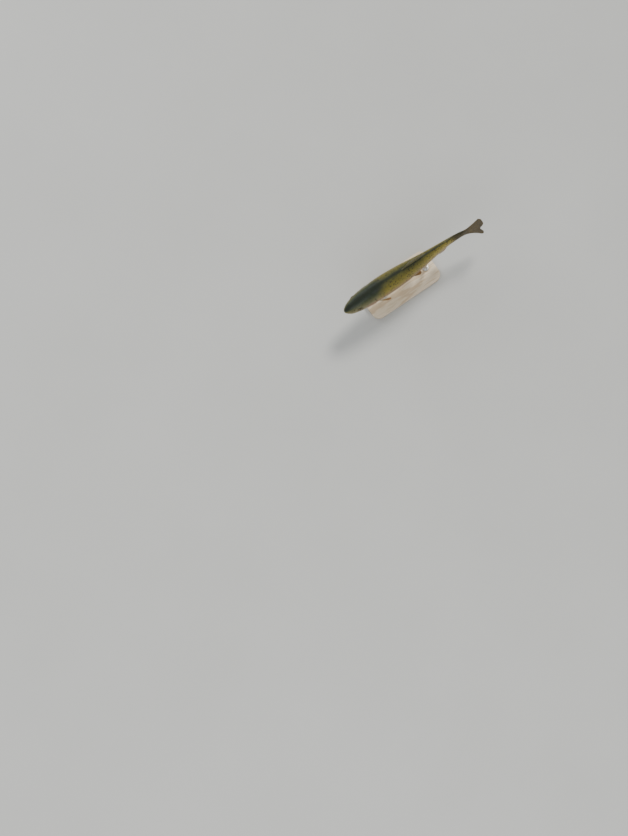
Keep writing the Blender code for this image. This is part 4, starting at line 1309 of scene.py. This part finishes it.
def light(kind, name, position, size, power, colour):
    """A lamp that looks at the fish: a broad disk, or a sun whose size is its angle."""
    lamp = bpy.data.lights.new(name, kind)
    if kind == "SUN":
        lamp.angle = size
    else:
        lamp.shape, lamp.size = "DISK", size
    lamp.energy, lamp.color = power, colour
    made = add_object(name, lamp)
    made.location = position
    made.rotation_euler = (Vector(LIT_POINT) - Vector(position)).to_track_quat("-Z", "Y").to_euler()


def make_lights():
    light("SUN", "key", (2.3, 1.3, 3.2), math.radians(17), 2.1, (1.0, 0.97, 0.91))
    light("AREA", "fill", (-2.2, -2.6, 2.6), 3.2, 42, (0.94, 0.97, 1.0))
    light("AREA", "rim", (-0.9, 2.9, 1.6), 2.2, 24, (0.97, 0.99, 1.0))
    world = bpy.data.worlds.new("soft_room")
    world.use_nodes = True
    colour, strength = world.node_tree.nodes["Background"].inputs[:2]
    colour.default_value, strength.default_value = (0.97, 0.98, 0.97, 1), 0.66
    bpy.context.scene.world = world


def make_camera():
    a, e = math.radians(CAMERA_AZIMUTH), math.radians(CAMERA_ELEVATION)
    back = Vector((math.sin(a) * math.cos(e), -math.cos(a) * math.cos(e), math.sin(e)))
    camera = bpy.data.cameras.new("camera")
    camera.lens = CAMERA_LENS
    camera.clip_start, camera.clip_end = 0.05, 60
    made = add_object("camera", camera)
    made.location = Vector(CAMERA_AIM) + back * CAMERA_DISTANCE
    made.rotation_mode = "QUATERNION"
    made.rotation_quaternion = (-back).to_track_quat("-Z", "Y")
    bpy.context.scene.camera = made


# ---------------- all of it
# Each fin's finish: name, tones of membrane, rays and margin, how spotted, and the leading edge's tone.
FIN_PAINTS = {
    "dorsal_fin": ("dorsal_membrane", (0.17, 0.15, 0.055), (0.07, 0.066, 0.022), (0.16, 0.13, 0.045), 0.3,
                   (0.1, 0.095, 0.04)),
    "adipose_fin": ("adipose_flesh", (0.13, 0.12, 0.035), (0.1, 0.105, 0.035), (0.03, 0.028, 0.012), 0.1),
    "anal_fin": ("anal_membrane", (0.42, 0.27, 0.12), (0.13, 0.075, 0.03), (0.46, 0.25, 0.1), 0.0,
                 (0.74, 0.68, 0.56)),
    "paired": ("paired_membrane", (0.44, 0.265, 0.095), (0.105, 0.058, 0.022), (0.46, 0.225, 0.07), 0.0,
               (0.7, 0.62, 0.48)),
    "caudal_fin": ("tail_membrane", (0.175, 0.118, 0.036), (0.062, 0.042, 0.014), (0.085, 0.056, 0.018),
                   0.26),
}

make_camera()
make_lights()
make_floor()
make_skin(fish_paint("fish_skin", coated=False))
make_scales(fish_paint("fish_scales", coated=True))
make_fins({key: fin_paint(*tones) for key, tones in FIN_PAINTS.items()})
eye, steel = eye_paint(), steel_paint()
make_eye("left", 1, eye)
make_eye("right", -1, eye)
make_base(wood_paint())
make_rod("front", steel)
make_rod("rear", steel)
